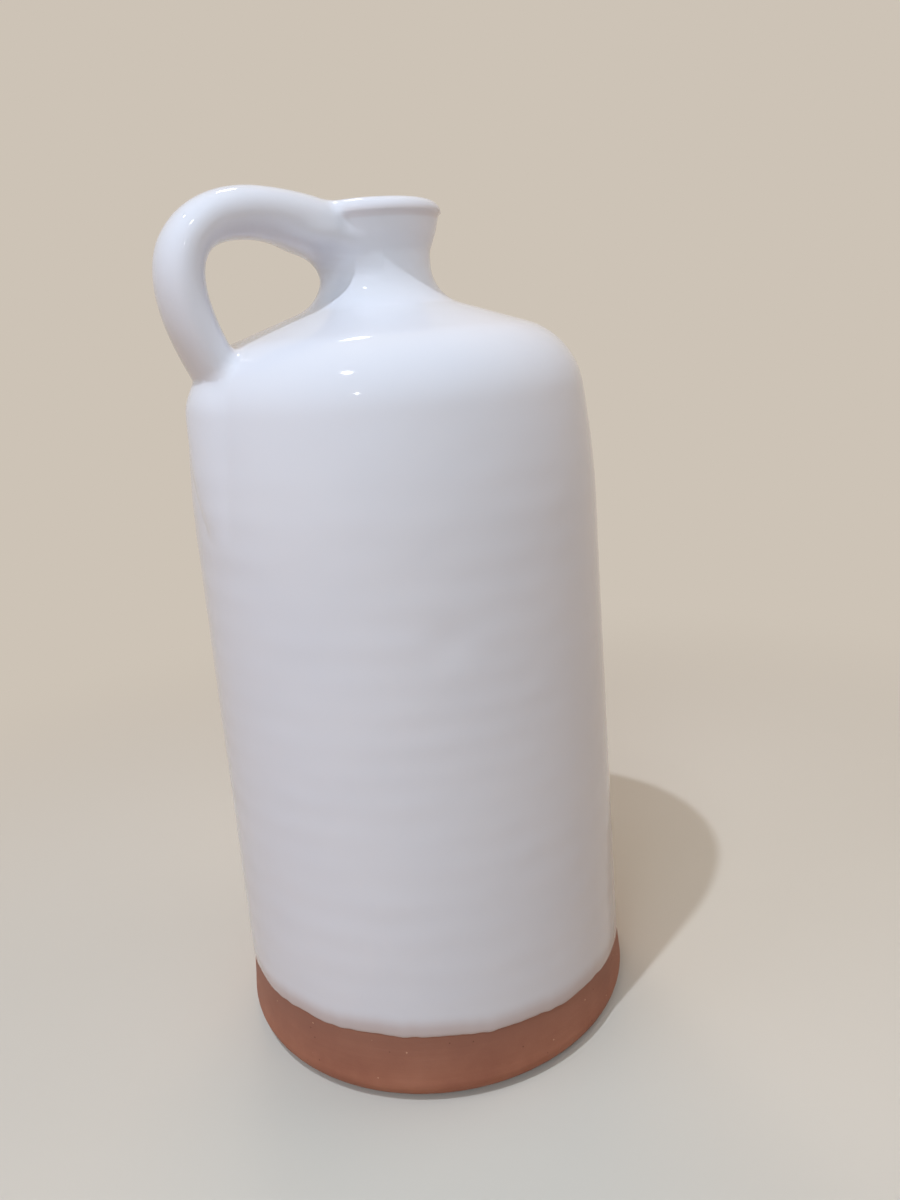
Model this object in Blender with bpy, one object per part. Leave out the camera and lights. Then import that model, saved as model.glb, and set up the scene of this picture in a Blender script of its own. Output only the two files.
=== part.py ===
"""Wheel-thrown terracotta bottle with a pulled strap handle, under a white glaze coat.

Units are metres and +Z is up. The origin is the middle of the flat foot, on the
throwing axis. The handle stands out toward -X and the neck is on the axis.
"""

import math

import bmesh
import bpy
from mathutils import Vector

# Coat thickness and the clearance that every two touching pieces keep
GLAZE = 0.0005
GAP = 0.0003

# Body radius above the foot, from which the foot, the wall and the shoulder take theirs
BODY_RADIUS = 0.0669

# Foot of the thrown clay, which stands out a little from the body over a soft edge
FOOT_SPREAD = 0.0025
FOOT_EDGE_ROUND = 0.0040
FLARE_HEIGHT = 0.026
FLARE_ROUND = 0.150

# Wall, drawn in slightly as it rises
WALL_DRAW_IN = 0.0024
WALL_HEIGHT = 0.193
WALL_ROUND = 0.308

# Shoulder corner, and the cone that climbs from it to the neck
SHOULDER_DRAW_IN = 0.0045
SHOULDER_RISE = 0.0356
SHOULDER_ROUND = 0.0236
CONE_RISE = 0.0150

# Neck and the rounded lip that overhangs it
NECK_RADIUS = 0.0164
NECK_ROOT_ROUND = 0.0135
NECK_LENGTH = 0.0133
NECK_FLARE_ROUND = 0.007
LIP_FLARE = 0.0044
LIP_FLARE_RISE = 0.0109
LIP_OUTER_ROUND = 0.0048
LIP_BAND = 0.0034
LIP_INNER_DROP = 0.0050

# Clay thickness and the bore of the neck
WALL_THICKNESS = 0.0055
FLOOR_THICKNESS = 0.0070
FLOOR_ROUND = 0.012
BORE_RADIUS = 0.0125
BORE_ROOT_ROUND = 0.008

# Where the dipped glaze ends above the foot: a tilted and slightly wavy line
GLAZE_LINE_HEIGHT = 0.0205
GLAZE_LINE_TILT = 0.0040
GLAZE_LINE_HIGH_SIDE = math.radians(196)
GLAZE_LINE_WAVE = 0.0003
GLAZE_LINE_WAVES = 5
GLAZE_EDGE_LAND = 0.003

# How far the outer coat turns down into the mouth
MOUTH_COAT_DEPTH = 0.0085

# Handle strap: corners that pull its middle line, from the neck to the shoulder
HANDLE_ROOT_DROP = 0.0084
HANDLE_CREST_OUT = 0.0135
HANDLE_CREST_RISE = 0.0009
HANDLE_BEND_OUT = 0.0053
HANDLE_BEND_DROP = 0.0019
HANDLE_HIP_IN = 0.0011
HANDLE_HIP_RISE = 0.0155
HANDLE_FOOT_INSET = 0.0050
HANDLE_FOOT_DROP = 0.0030

# Strap section: half its width and half its thickness along the route
ROOT_HALF_WIDTH = 0.0125
ROOT_HALF_THICKNESS = 0.0076
STRAP_HALF_WIDTH = 0.0107
CREST_HALF_THICKNESS = 0.0064
BEND_HALF_THICKNESS = 0.0056
FOOT_HALF_WIDTH = 0.0110
FOOT_HALF_THICKNESS = 0.0057
SECTION_SQUARENESS = 2.15

# Places along the strap, as shares of its route, where its section reaches those sizes
ROOT_BLEND_END = 0.25
CREST_PLACE = 0.30
BEND_PLACE = 0.60
FOOT_BLEND_START = 0.70

# Thumbed tail that runs from the strap's foot down the wall
TAIL_LENGTH = 0.043
TAIL_PROUD = 0.0026
TAIL_HALF_WIDTH = 0.0142
TAIL_SPREAD = 0.25
TAIL_TIP_HALF_WIDTH = 0.0050
TAIL_TIP_HALF_THICKNESS = 0.0030
TAIL_LEAN = 0.0075

# Scored pockets under both ends of the strap, filled with joining slip
SLIP_THICKNESS = 0.0006
SLIP_MARGIN = 0.0028

# Resolution of the turned and lofted forms
TURN_STEPS = 40
ARC_STEP = math.radians(17)
LIP_ARC_STEP = math.radians(24)
STRAP_SIDES = 16
STRAP_STEP = 0.0050
ROUTE_STEPS = 64

# Limits on rounding: how much of a leg its two arcs may take, and the least turn rounded
ARC_SHARE = 0.96
LEAST_TURN = math.radians(0.5)
AXIS_TOLERANCE = 1e-7
WELD_DISTANCE = 2e-6
SMOOTH_ANGLE = math.radians(35)


def clear_scene():
    """Remove every object, so that the script gives the same scene each time."""
    for item in list(bpy.data.objects):
        bpy.data.objects.remove(item)


def material(name, colour, roughness, coat):
    """Return a Principled material: linear colour, roughness and clear coat weight."""
    made = bpy.data.materials.new(name)
    made.use_nodes = True
    shader = made.node_tree.nodes["Principled BSDF"]
    shader.inputs["Base Color"].default_value = (*colour, 1.0)
    shader.inputs["Roughness"].default_value = roughness
    shader.inputs["Metallic"].default_value = 0.0
    shader.inputs["Coat Weight"].default_value = coat
    return made


# Outlines in the (radius, height) plane

def arc_reaches(corners):
    """How far each corner's arc reaches along its legs, where two arcs share every leg."""
    places = [Vector(corner) for corner, _ in corners]
    wanted = [0.0] * len(corners)
    for index in range(1, len(corners) - 1):
        back, ahead = places[index - 1] - places[index], places[index + 1] - places[index]
        wanted[index] = corners[index][1] / math.tan(back.angle(ahead) / 2)
    reaches = list(wanted)
    for index, (start, end) in enumerate(zip(places, places[1:])):
        room = ARC_SHARE * (end - start).length
        share = min(1.0, room / max(wanted[index] + wanted[index + 1], AXIS_TOLERANCE))
        for near in (index, index + 1):
            reaches[near] = min(reaches[near], wanted[near] * share)
    return reaches


def rounded(corners):
    """Turn (point, radius) corners into an outline, with each corner as an arc."""
    points = [Vector(corners[0][0])]
    reaches = arc_reaches(corners)[1:]
    for before, (corner, radius), after, reach in zip(corners, corners[1:], corners[2:],
                                                      reaches):
        corner = Vector(corner)
        back = Vector(before[0]) - corner
        ahead = Vector(after[0]) - corner
        half_angle = back.angle(ahead) / 2
        turn = math.pi - 2 * half_angle
        if radius == 0 or turn < LEAST_TURN:
            points.append(corner)
            continue
        radius = reach * math.tan(half_angle)
        towards_centre = (back.normalized() + ahead.normalized()).normalized()
        centre = corner + towards_centre * (radius / math.sin(half_angle))
        start = corner + back.normalized() * reach - centre
        side = 1 if start.cross(corner - centre) > 0 else -1
        steps = max(1, round(turn / ARC_STEP))
        for step in range(steps + 1):
            angle = side * turn * step / steps
            points.append(centre + rotated(start, angle))
    points.append(Vector(corners[-1][0]))
    return points


def rotated(arrow, angle):
    """Return a 2-D arrow turned anticlockwise by an angle."""
    c, s = math.cos(angle), math.sin(angle)
    return Vector((c * arrow.x - s * arrow.y, s * arrow.x + c * arrow.y))


def spline(corners):
    """Draw a smooth line from the first corner to the last, pulled by those between.

    It is a cubic B-spline, and a corner moves only the part of the line beside it.
    """
    spans = len(corners) - 3
    knots = [0] * 3 + list(range(spans + 1)) + [spans] * 3
    line = []
    for step in range(ROUTE_STEPS + 1):
        place = spans * step / ROUTE_STEPS
        span = min(int(place), spans - 1)
        near = [corner.copy() for corner in corners[span:span + 4]]
        for level in (1, 2, 3):
            for index in range(3, level - 1, -1):
                low, high = knots[span + index], knots[span + index + 4 - level]
                near[index] = near[index - 1].lerp(near[index], (place - low) / (high - low))
        line.append(near[3])
    return line


def quarter(start, end, first_along_height):
    """Return the inner points and the end of a quarter ellipse between two points."""
    steps = max(2, round(math.radians(90) / LIP_ARC_STEP))
    points = []
    for step in range(1, steps + 1):
        angle = math.radians(90) * step / steps
        lead, lag = math.sin(angle), 1 - math.cos(angle)
        across, up = (lag, lead) if first_along_height else (lead, lag)
        points.append(Vector((start.x + (end.x - start.x) * across,
                              start.y + (end.y - start.y) * up)))
    return points


def parallel_corner(before, corner, after, inset):
    """Return the corner of the two lines moved toward the axis side by an inset."""
    first = (Vector(corner) - Vector(before)).normalized()
    second = (Vector(after) - Vector(corner)).normalized()
    normal = (rotated(first, math.pi / 2) + rotated(second, math.pi / 2)).normalized()
    return Vector(corner) + normal * (inset / normal.dot(rotated(first, math.pi / 2)))


def grown(points, distance, left):
    """Move an outline sideways by a distance, to its left or right, with mitred corners."""
    side = 1 if left else -1
    moved = []
    for index, point in enumerate(points):
        before = points[max(index - 1, 0)]
        after = points[min(index + 1, len(points) - 1)]
        arrows = [a for a in (point - before, after - point) if a.length > AXIS_TOLERANCE]
        normals = [rotated(a.normalized(), side * math.pi / 2) for a in arrows]
        mitre = sum(normals, Vector((0, 0))).normalized()
        place = point + mitre * (distance / mitre.dot(normals[0]))
        if point.x < AXIS_TOLERANCE:
            place.x = 0
        moved.append(place)
    return moved


# Heights and radii that follow from the sizes above

def foot_radius():
    """Radius of the foot's edge."""
    return BODY_RADIUS + FOOT_SPREAD


def wall_top_radius():
    """Radius of the wall where it meets the shoulder's round."""
    return BODY_RADIUS - WALL_DRAW_IN


def shoulder_radius():
    """Radius of the shoulder's corner."""
    return wall_top_radius() - SHOULDER_DRAW_IN


def shoulder_height():
    """Height of the shoulder's corner."""
    return WALL_HEIGHT + SHOULDER_RISE


def neck_root_height():
    """Height of the corner between the shoulder's cone and the neck."""
    return shoulder_height() + CONE_RISE


def lip_edge_height():
    """Height of the crisp edge under the lip."""
    return neck_root_height() + NECK_LENGTH + LIP_FLARE_RISE


def lip_height():
    """Height of the lip's crest."""
    return lip_edge_height() + LIP_BAND


def lip_radius():
    """Largest radius of the lip."""
    return NECK_RADIUS + LIP_FLARE


def outer_corners():
    """Corners of the clay's outside, from the foot's middle to the edge under the lip."""
    return [
        ((0, 0), 0),
        ((foot_radius(), 0), FOOT_EDGE_ROUND),
        ((BODY_RADIUS, FLARE_HEIGHT), FLARE_ROUND),
        ((wall_top_radius(), WALL_HEIGHT), WALL_ROUND),
        ((shoulder_radius(), shoulder_height()), SHOULDER_ROUND),
        ((NECK_RADIUS, neck_root_height()), NECK_ROOT_ROUND),
        ((NECK_RADIUS, neck_root_height() + NECK_LENGTH), NECK_FLARE_ROUND),
        ((lip_radius(), lip_edge_height()), 0),
    ]


def lip_outline():
    """The rounded lip: out and over its crest, then down to the bore."""
    edge = Vector((lip_radius(), lip_edge_height()))
    crest = Vector((lip_radius() - LIP_OUTER_ROUND, lip_height()))
    bore = Vector((BORE_RADIUS, lip_height() - LIP_INNER_DROP))
    return quarter(edge, crest, True) + quarter(crest, bore, False)


def inner_corners():
    """Corners of the clay's inside, from the neck's bore to the middle of the floor."""
    outer = [corner for corner, _ in outer_corners()]
    wall_low = Vector(parallel_corner(*outer[1:4], WALL_THICKNESS))
    wall_top = parallel_corner(*outer[2:5], WALL_THICKNESS)
    shoulder = parallel_corner(*outer[3:6], WALL_THICKNESS)
    cone = parallel_corner(*outer[4:7], WALL_THICKNESS)
    climb = (cone.y - shoulder.y) / (cone.x - shoulder.x)
    bore_root = Vector((BORE_RADIUS, shoulder.y + climb * (BORE_RADIUS - shoulder.x)))
    return [
        ((BORE_RADIUS, lip_height() - MOUTH_COAT_DEPTH), 0),
        (bore_root, BORE_ROOT_ROUND),
        (shoulder, SHOULDER_ROUND - WALL_THICKNESS),
        (wall_top, WALL_ROUND),
        ((wall_low.x, FLOOR_THICKNESS), FLOOR_ROUND),
        ((0, FLOOR_THICKNESS), 0),
    ]


def clay_outline():
    """The whole section of the thrown clay, from the foot's middle round to the floor's."""
    return rounded(outer_corners()) + lip_outline() + rounded(inner_corners())


def outside_outline(growth):
    """The clay's outside and lip, grown by a distance, down to the mouth coat's end."""
    outline = rounded(outer_corners()) + lip_outline()
    outline.append(Vector((BORE_RADIUS, lip_height() - MOUTH_COAT_DEPTH)))
    return grown(outline, growth, left=False)


# Turned solids

def turned(name, outline, closed):
    """Spin an outline about the axis into a closed mesh object.

    An open outline starts and ends on the axis; a closed one is a ring's section.
    """
    body = bmesh.new()
    verts = [body.verts.new((point.x, 0, point.y)) for point in outline]
    edges = [body.edges.new(pair) for pair in zip(verts, verts[1:])]
    if closed:
        edges.append(body.edges.new((verts[-1], verts[0])))
    bmesh.ops.spin(body, geom=verts + edges, cent=(0, 0, 0), axis=(0, 0, 1),
                   angle=2 * math.pi, steps=TURN_STEPS, use_merge=True)
    bmesh.ops.remove_doubles(body, verts=body.verts, dist=WELD_DISTANCE)
    bmesh.ops.dissolve_degenerate(body, edges=body.edges, dist=WELD_DISTANCE)
    return finish(name, body)


def finish(name, body):
    """Turn a bmesh into a scene object with its faces out and its curves smooth."""
    bmesh.ops.recalc_face_normals(body, faces=body.faces)
    mesh = bpy.data.meshes.new(name)
    body.to_mesh(mesh)
    body.free()
    mesh.shade_smooth()
    mesh.set_sharp_from_angle(angle=SMOOTH_ANGLE)
    made = bpy.data.objects.new(name, mesh)
    bpy.context.scene.collection.objects.link(made)
    return made


def as_cutter(item):
    """Hide an object that only cuts or joins others."""
    item.hide_render = True
    item.display_type = "WIRE"
    return item


def combine(item, other, operation):
    """Add a Boolean modifier to an object."""
    modifier = item.modifiers.new(f"{operation.lower()} {other.name}", "BOOLEAN")
    modifier.operation = operation
    modifier.object = other
    modifier.solver = "EXACT"


def weld(item):
    """Join the points that a Boolean cut leaves on top of each other."""
    modifier = item.modifiers.new("weld", "WELD")
    modifier.merge_threshold = WELD_DISTANCE


def thrown_body():
    """Floor, wall, shoulder, neck and lip, thrown as one piece and open at the mouth."""
    made = turned("thrown_body", clay_outline(), closed=False)
    made.data.materials.append(material("terracotta", (0.31, 0.12, 0.065), 0.8, 0.0))
    return made


def vessel_space(name, growth):
    """Cutter: the vessel grown by a distance and filled below the coat's end in the mouth."""
    outline = outside_outline(growth)
    outline.append(Vector((outline[-1].x, outline[-1].y - WALL_THICKNESS)))
    outline.append(Vector((0, outline[-1].y)))
    return as_cutter(turned(name, outline, closed=False))


# Strap handle

def root_radius():
    """Radius at which the strap's root ends, in the middle of the neck's clay."""
    return (BORE_RADIUS + NECK_RADIUS) / 2


def strap_route():
    """Middle line of the strap in the (radius, height) plane, root to shoulder."""
    root = Vector((root_radius(), lip_height() - HANDLE_ROOT_DROP))
    crest = Vector((lip_radius() + HANDLE_CREST_OUT, lip_height() + HANDLE_CREST_RISE))
    bend = Vector((shoulder_radius() + HANDLE_BEND_OUT, crest.y - HANDLE_BEND_DROP))
    hip = Vector((bend.x - HANDLE_HIP_IN, shoulder_height() + HANDLE_HIP_RISE))
    foot = Vector((shoulder_radius() - HANDLE_FOOT_INSET, shoulder_height() - HANDLE_FOOT_DROP))
    return spline([root, crest, bend, hip, foot])


def outside_radius(height):
    """Radius of the clay's outside at a height on the wall or the shoulder."""
    outline = rounded(outer_corners())
    for low, high in zip(outline, outline[1:]):
        if low.y <= height < high.y:
            return low.x + (high.x - low.x) * (height - low.y) / (high.y - low.y)
    return NECK_RADIUS


def blend(start, end, share):
    """Ease from one value to another as the share goes from 0 to 1."""
    eased = share * share * (3 - 2 * share)
    return start + (end - start) * eased


def ramp(stops, place):
    """Ease through (place, value) stops."""
    for (low, first), (high, second) in zip(stops, stops[1:]):
        if place <= high:
            return blend(first, second, max(0.0, (place - low) / (high - low)))
    return stops[-1][1]


def evenly_spaced(points, spacing):
    """Return points at an even spacing along a line of points."""
    lengths = [0.0]
    for first, second in zip(points, points[1:]):
        lengths.append(lengths[-1] + (second - first).length)
    count = max(2, round(lengths[-1] / spacing))
    spaced = []
    for index in range(count + 1):
        goal = lengths[-1] * index / count
        leg = max(i for i, done in enumerate(lengths[:-1]) if done <= goal + 1e-12)
        share = (goal - lengths[leg]) / (lengths[leg + 1] - lengths[leg])
        spaced.append(points[leg].lerp(points[leg + 1], min(share, 1.0)))
    return spaced


def strap_stations():
    """Sections from the root to the shoulder: middle, half-width, half-thickness, lean."""
    spaced = evenly_spaced(strap_route(), STRAP_STEP)
    widths = [(0.0, ROOT_HALF_WIDTH), (ROOT_BLEND_END, STRAP_HALF_WIDTH),
              (FOOT_BLEND_START, STRAP_HALF_WIDTH), (1.0, FOOT_HALF_WIDTH)]
    thicknesses = [(0.0, ROOT_HALF_THICKNESS), (CREST_PLACE, CREST_HALF_THICKNESS),
                   (BEND_PLACE, BEND_HALF_THICKNESS), (1.0, FOOT_HALF_THICKNESS)]
    stations = []
    for index, middle in enumerate(spaced):
        share = index / (len(spaced) - 1)
        stations.append((middle, ramp(widths, share), ramp(thicknesses, share), 0.0))
    return stations


def tail_stations(start):
    """Sections of the thumbed tail, which sinks into the wall as it runs down it."""
    count = max(3, round(TAIL_LENGTH / STRAP_STEP))
    stations = []
    for index in range(1, count + 1):
        share = index / count
        height = start.y - TAIL_LENGTH * share
        thickness = blend(FOOT_HALF_THICKNESS, TAIL_TIP_HALF_THICKNESS, share)
        proud = TAIL_PROUD * (1 - share)
        surface = outside_radius(height) + proud - thickness
        taper = TAIL_TIP_HALF_WIDTH + (TAIL_HALF_WIDTH - TAIL_TIP_HALF_WIDTH) * (1 - share ** 2)
        spread = min(1.0, share / TAIL_SPREAD)
        stations.append((Vector((blend(start.x, surface, spread), height)),
                         blend(FOOT_HALF_WIDTH, taper, spread),
                         thickness, TAIL_LEAN * share ** 2))
    return stations


def section(middle, along, half_width, half_thickness, lean):
    """Points of one soft-cornered oval section, square to the strap's middle line."""
    outward = rotated(along, math.pi / 2)
    points = []
    for side in range(STRAP_SIDES):
        angle = 2 * math.pi * side / STRAP_SIDES
        across = math.copysign(abs(math.cos(angle)) ** (2 / SECTION_SQUARENESS), math.cos(angle))
        through = math.copysign(abs(math.sin(angle)) ** (2 / SECTION_SQUARENESS), math.sin(angle))
        place = middle + outward * (half_thickness * through)
        points.append((-place.x, -lean + half_width * across, place.y))
    return points


def bent_round_bore(points, radius, climb):
    """Slide points along the route's climb onto a face bent round the neck's bore."""
    bent = []
    for x, y, z in points:
        face = -math.sqrt(max(radius ** 2 - y ** 2, BORE_RADIUS ** 2 / 4))
        bent.append((face, y, z + climb * (x - face)))
    return bent


def close_end(body, ring):
    """Close a ring with strips across its width, which lie well on a bent ring too."""
    half = len(ring) // 2
    body.faces.new((ring[0], ring[1], ring[-1]))
    for side in range(1, half - 1):
        body.faces.new((ring[side], ring[side + 1], ring[-side - 1], ring[-side]))
    body.faces.new((ring[half - 1], ring[half], ring[half + 1]))


def strap(name, growth, stations):
    """Loft of the strap through its stations, grown all round by a distance."""
    body = bmesh.new()
    rings = []
    for index, (middle, half_width, half_thickness, lean) in enumerate(stations):
        before = stations[max(index - 1, 0)][0]
        after = stations[min(index + 1, len(stations) - 1)][0]
        along = (after - before).normalized()
        if index == len(stations) - 1:
            middle = middle + along * max(growth, 0)
        points = section(middle, along, half_width + growth, half_thickness + growth, lean)
        if index == 0 and middle.x < NECK_RADIUS:
            points = bent_round_bore(points, root_radius() - max(growth, 0), along.y / along.x)
        rings.append([body.verts.new(point) for point in points])
    for lower, upper in zip(rings, rings[1:]):
        for side in range(STRAP_SIDES):
            following = (side + 1) % STRAP_SIDES
            body.faces.new((lower[side], lower[following], upper[following], upper[side]))
    close_end(body, rings[0])
    close_end(body, rings[-1])
    return finish(name, body)


def whole_strap():
    """Stations of the strap and its tail."""
    stations = strap_stations()
    return stations + tail_stations(stations[-1][0])


def joint_ends():
    """Stations of the strap's two ends, where it is luted to the neck and the shoulder."""
    stations = strap_stations()
    half = len(stations) // 2
    return {"upper": stations[:half], "lower": whole_strap()[half:len(stations) + 2]}


def joint_slip(end, stations, vessel_gap, vessel_slip):
    """Pad of slip in the scored pocket under one end of the strap."""
    pad = strap(f"{end}_joint_slip", -SLIP_MARGIN, stations)
    combine(pad, vessel_slip, "INTERSECT")
    combine(pad, vessel_gap, "DIFFERENCE")
    weld(pad)
    pad.data.materials.append(material(f"{end}_slip", (0.27, 0.10, 0.055), 0.85, 0.0))
    return pad


def slip_pocket(end, stations, vessel_pocket):
    """Cutter: the pocket that holds a pad, with clearance all round."""
    pocket = strap(f"{end}_pocket", GAP - SLIP_MARGIN, stations)
    combine(pocket, vessel_pocket, "INTERSECT")
    return as_cutter(pocket)


def strap_handle(vessel_gap, pockets):
    """The pulled strap, cut to sit on the vessel and over both pads of slip."""
    handle = strap("strap_handle", 0.0, whole_strap())
    combine(handle, vessel_gap, "DIFFERENCE")
    for pocket in pockets:
        combine(handle, pocket, "DIFFERENCE")
    weld(handle)
    handle.data.materials.append(material("handle_clay", (0.31, 0.12, 0.065), 0.8, 0.0))
    return handle


# Glaze coats

def glaze_line(angle):
    """Height of the coat's lower edge at an angle round the foot."""
    tilt = GLAZE_LINE_TILT * math.cos(angle - GLAZE_LINE_HIGH_SIDE)
    wave = GLAZE_LINE_WAVE * math.sin(GLAZE_LINE_WAVES * angle)
    return GLAZE_LINE_HEIGHT + tilt + wave


def coat_blank():
    """Solid ring: the glaze's outer face outside, the middle of the clay's wall inside."""
    flat = GLAZE_LINE_HEIGHT
    above = flat + GLAZE_LINE_TILT + GLAZE_LINE_WAVE + GLAZE_EDGE_LAND
    outer = [point for point in outside_outline(GAP + GLAZE) if point.y > above]
    middle = [point for point in grown(rounded(outer_corners()), WALL_THICKNESS / 2, left=True)
              if above < point.y < outer[-1].y]
    start = Vector((outside_radius(flat) + GAP + GLAZE, flat))
    end = Vector((outside_radius(flat) - WALL_THICKNESS / 2, flat))
    step = Vector((middle[-1].x, outer[-1].y))
    blank = turned("outer_glaze", [start, *outer, step, *reversed(middle), end], closed=True)
    for vert in blank.data.vertices:
        if abs(vert.co.z - flat) < AXIS_TOLERANCE:
            angle = math.atan2(vert.co.y, vert.co.x)
            height = glaze_line(angle)
            flare = outside_radius(height) - outside_radius(flat)
            radius = math.hypot(vert.co.x, vert.co.y) + flare
            vert.co = (radius * math.cos(angle), radius * math.sin(angle), height)
    return blank


def outer_glaze(vessel_gap):
    """White coat over the vessel and the handle, cut clear of the clay beneath."""
    coat = coat_blank()
    combine(coat, as_cutter(strap("glazed_strap", GAP + GLAZE, whole_strap())), "UNION")
    combine(coat, vessel_gap, "DIFFERENCE")
    combine(coat, as_cutter(strap("strap_space", GAP, whole_strap())), "DIFFERENCE")
    weld(coat)
    coat.data.materials.append(material("white_glaze", (0.72, 0.74, 0.79), 0.12, 1.0))
    return coat


def inner_glaze():
    """Poured lining of the floor, the wall and the neck up to the mouth coat's end."""
    outline = rounded(inner_corners())
    facing_clay = grown(outline, GAP, left=False)
    facing_in = grown(outline, GAP + GLAZE, left=False)
    facing_clay[0].y -= GAP
    facing_in[0].y -= GAP
    made = turned("inner_glaze", facing_clay[::-1] + facing_in, closed=False)
    made.data.materials.append(material("lining_glaze", (0.70, 0.71, 0.74), 0.15, 1.0))
    return made


def build():
    """Make every piece of the bottle."""
    clear_scene()
    thrown_body()
    vessel_gap = vessel_space("vessel_space", GAP)
    vessel_slip = vessel_space("slip_face", GAP + SLIP_THICKNESS)
    vessel_pocket = vessel_space("pocket_face", GAP + SLIP_THICKNESS + GAP)
    pockets = []
    for end, stations in joint_ends().items():
        joint_slip(end, stations, vessel_gap, vessel_slip)
        pockets.append(slip_pocket(end, stations, vessel_pocket))
    strap_handle(vessel_gap, pockets)
    outer_glaze(vessel_gap)
    inner_glaze()


build()
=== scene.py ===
"""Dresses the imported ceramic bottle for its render.

The bottle is a wheel-thrown vessel of red earthenware with a pulled strap handle, under
a glossy white tin glaze that stops above the foot. Units are metres, +Z is up, the origin
is the middle of the foot, and the handle stands toward -X.
"""

import logging
import math
from dataclasses import dataclass
from enum import Enum

import bmesh
import bpy
import numpy as np
from mathutils import Matrix, Vector

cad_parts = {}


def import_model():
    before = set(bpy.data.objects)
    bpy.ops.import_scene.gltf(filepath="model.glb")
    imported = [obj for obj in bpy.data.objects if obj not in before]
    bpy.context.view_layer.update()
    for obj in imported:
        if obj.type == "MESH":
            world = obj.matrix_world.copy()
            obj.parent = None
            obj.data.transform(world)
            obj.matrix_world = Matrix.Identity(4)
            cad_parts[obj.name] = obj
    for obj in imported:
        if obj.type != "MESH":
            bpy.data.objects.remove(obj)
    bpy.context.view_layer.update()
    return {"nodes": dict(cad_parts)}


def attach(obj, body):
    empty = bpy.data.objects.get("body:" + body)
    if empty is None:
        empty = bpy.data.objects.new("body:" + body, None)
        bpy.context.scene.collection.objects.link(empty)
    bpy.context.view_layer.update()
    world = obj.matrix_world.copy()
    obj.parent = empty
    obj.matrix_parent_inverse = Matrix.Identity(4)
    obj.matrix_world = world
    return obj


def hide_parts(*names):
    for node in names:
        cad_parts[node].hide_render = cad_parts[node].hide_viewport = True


LOG = logging.getLogger("ceramic_bottle")
MM = 0.001
# How much of a leg of an outline the arcs at its two ends may take
ARC_SHARE = 0.96
# A corner of an outline that turns less than this needs no arc
LEAST_TURN = math.radians(0.5)
# Least length or slope that is divided by
TINY = 1e-6

Array = np.ndarray
Material = bpy.types.Material
Mesh = bpy.types.Mesh
Item = bpy.types.Object
Tree = bpy.types.NodeTree
Socket = bpy.types.NodeSocket
Term = Socket | float
Corner = tuple[tuple[float, float], float]
Steps = tuple[tuple[float, float], ...]


# Colours and shader nodes

def linear(code: str) -> tuple[float, float, float, float]:
    """Turn an sRGB hex colour into linear RGBA.

    Args:
        code: Six hex digits after a hash sign.

    Returns:
        The colour that a shader socket takes, with full alpha.
    """
    parts = [int(code[place:place + 2], 16) / 255 for place in (1, 3, 5)]
    light = [p / 12.92 if p <= 0.04045 else ((p + 0.055) / 1.055) ** 2.4 for p in parts]
    return (*light, 1.0)


def add_node(tree: Tree, kind: str, given: dict | None = None) -> bpy.types.Node:
    """Add one node to a tree, set it and link it.

    Args:
        tree: The shader or geometry tree.
        kind: The node's Blender type name.
        given: Values by property name, or by input name or number, properties first. An
            output socket is linked to the input.

    Returns:
        The new node.
    """
    node = tree.nodes.new(kind)
    for key, value in (given or {}).items():
        if isinstance(value, Socket):
            tree.links.new(value, node.inputs[key])
        elif isinstance(key, str) and hasattr(node, key):
            setattr(node, key, value)
        else:
            node.inputs[key].default_value = value
    return node


def work_out(tree: Tree, operation: str, *terms: Term, clamp: bool = False) -> Socket:
    """Return the result of one operation on sockets or numbers."""
    given = {"operation": operation, "use_clamp": clamp, **dict(enumerate(terms))}
    return add_node(tree, "ShaderNodeMath", given).outputs[0]


def blend(tree: Tree, share: Term, first: Socket | str, second: Socket | str,
          kind: str = "MIX") -> Socket:
    """Return a mix of two colours, each a socket or a hex code."""
    first, second = (linear(end) if isinstance(end, str) else end for end in (first, second))
    given = {"data_type": "RGBA", "blend_type": kind, 0: share, 6: first, 7: second}
    return add_node(tree, "ShaderNodeMix", given).outputs[2]


def ranged(tree: Tree, value: Socket, low: float, high: float, start: float = 0.0,
           end: float = 1.0, kind: str = "LINEAR") -> Socket:
    """Return a value's place from low to high, turned into one from start to end."""
    given = {"interpolation_type": kind, "From Min": low, "From Max": high,
             "To Min": start, "To Max": end, "Value": value}
    return add_node(tree, "ShaderNodeMapRange", given).outputs["Result"]


def noise(tree: Tree, place: Socket, size: float, detail: float,
          roughness: float = 0.5) -> Socket:
    """Return soft noise whose bumps are about a size apart."""
    given = {"Scale": 1 / size, "Detail": detail, "Roughness": roughness, "Vector": place}
    return add_node(tree, "ShaderNodeTexNoise", given).outputs["Fac"]


def cells(tree: Tree, place: Socket, size: float) -> tuple[Socket, list[Socket]]:
    """Return the distance to a scattered cell's middle, and the cell's random numbers."""
    node = add_node(tree, "ShaderNodeTexVoronoi", {"Scale": 1 / size, "Vector": place})
    picked = add_node(tree, "ShaderNodeSeparateColor", {0: node.outputs["Color"]})
    return node.outputs["Distance"], list(picked.outputs)


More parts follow.
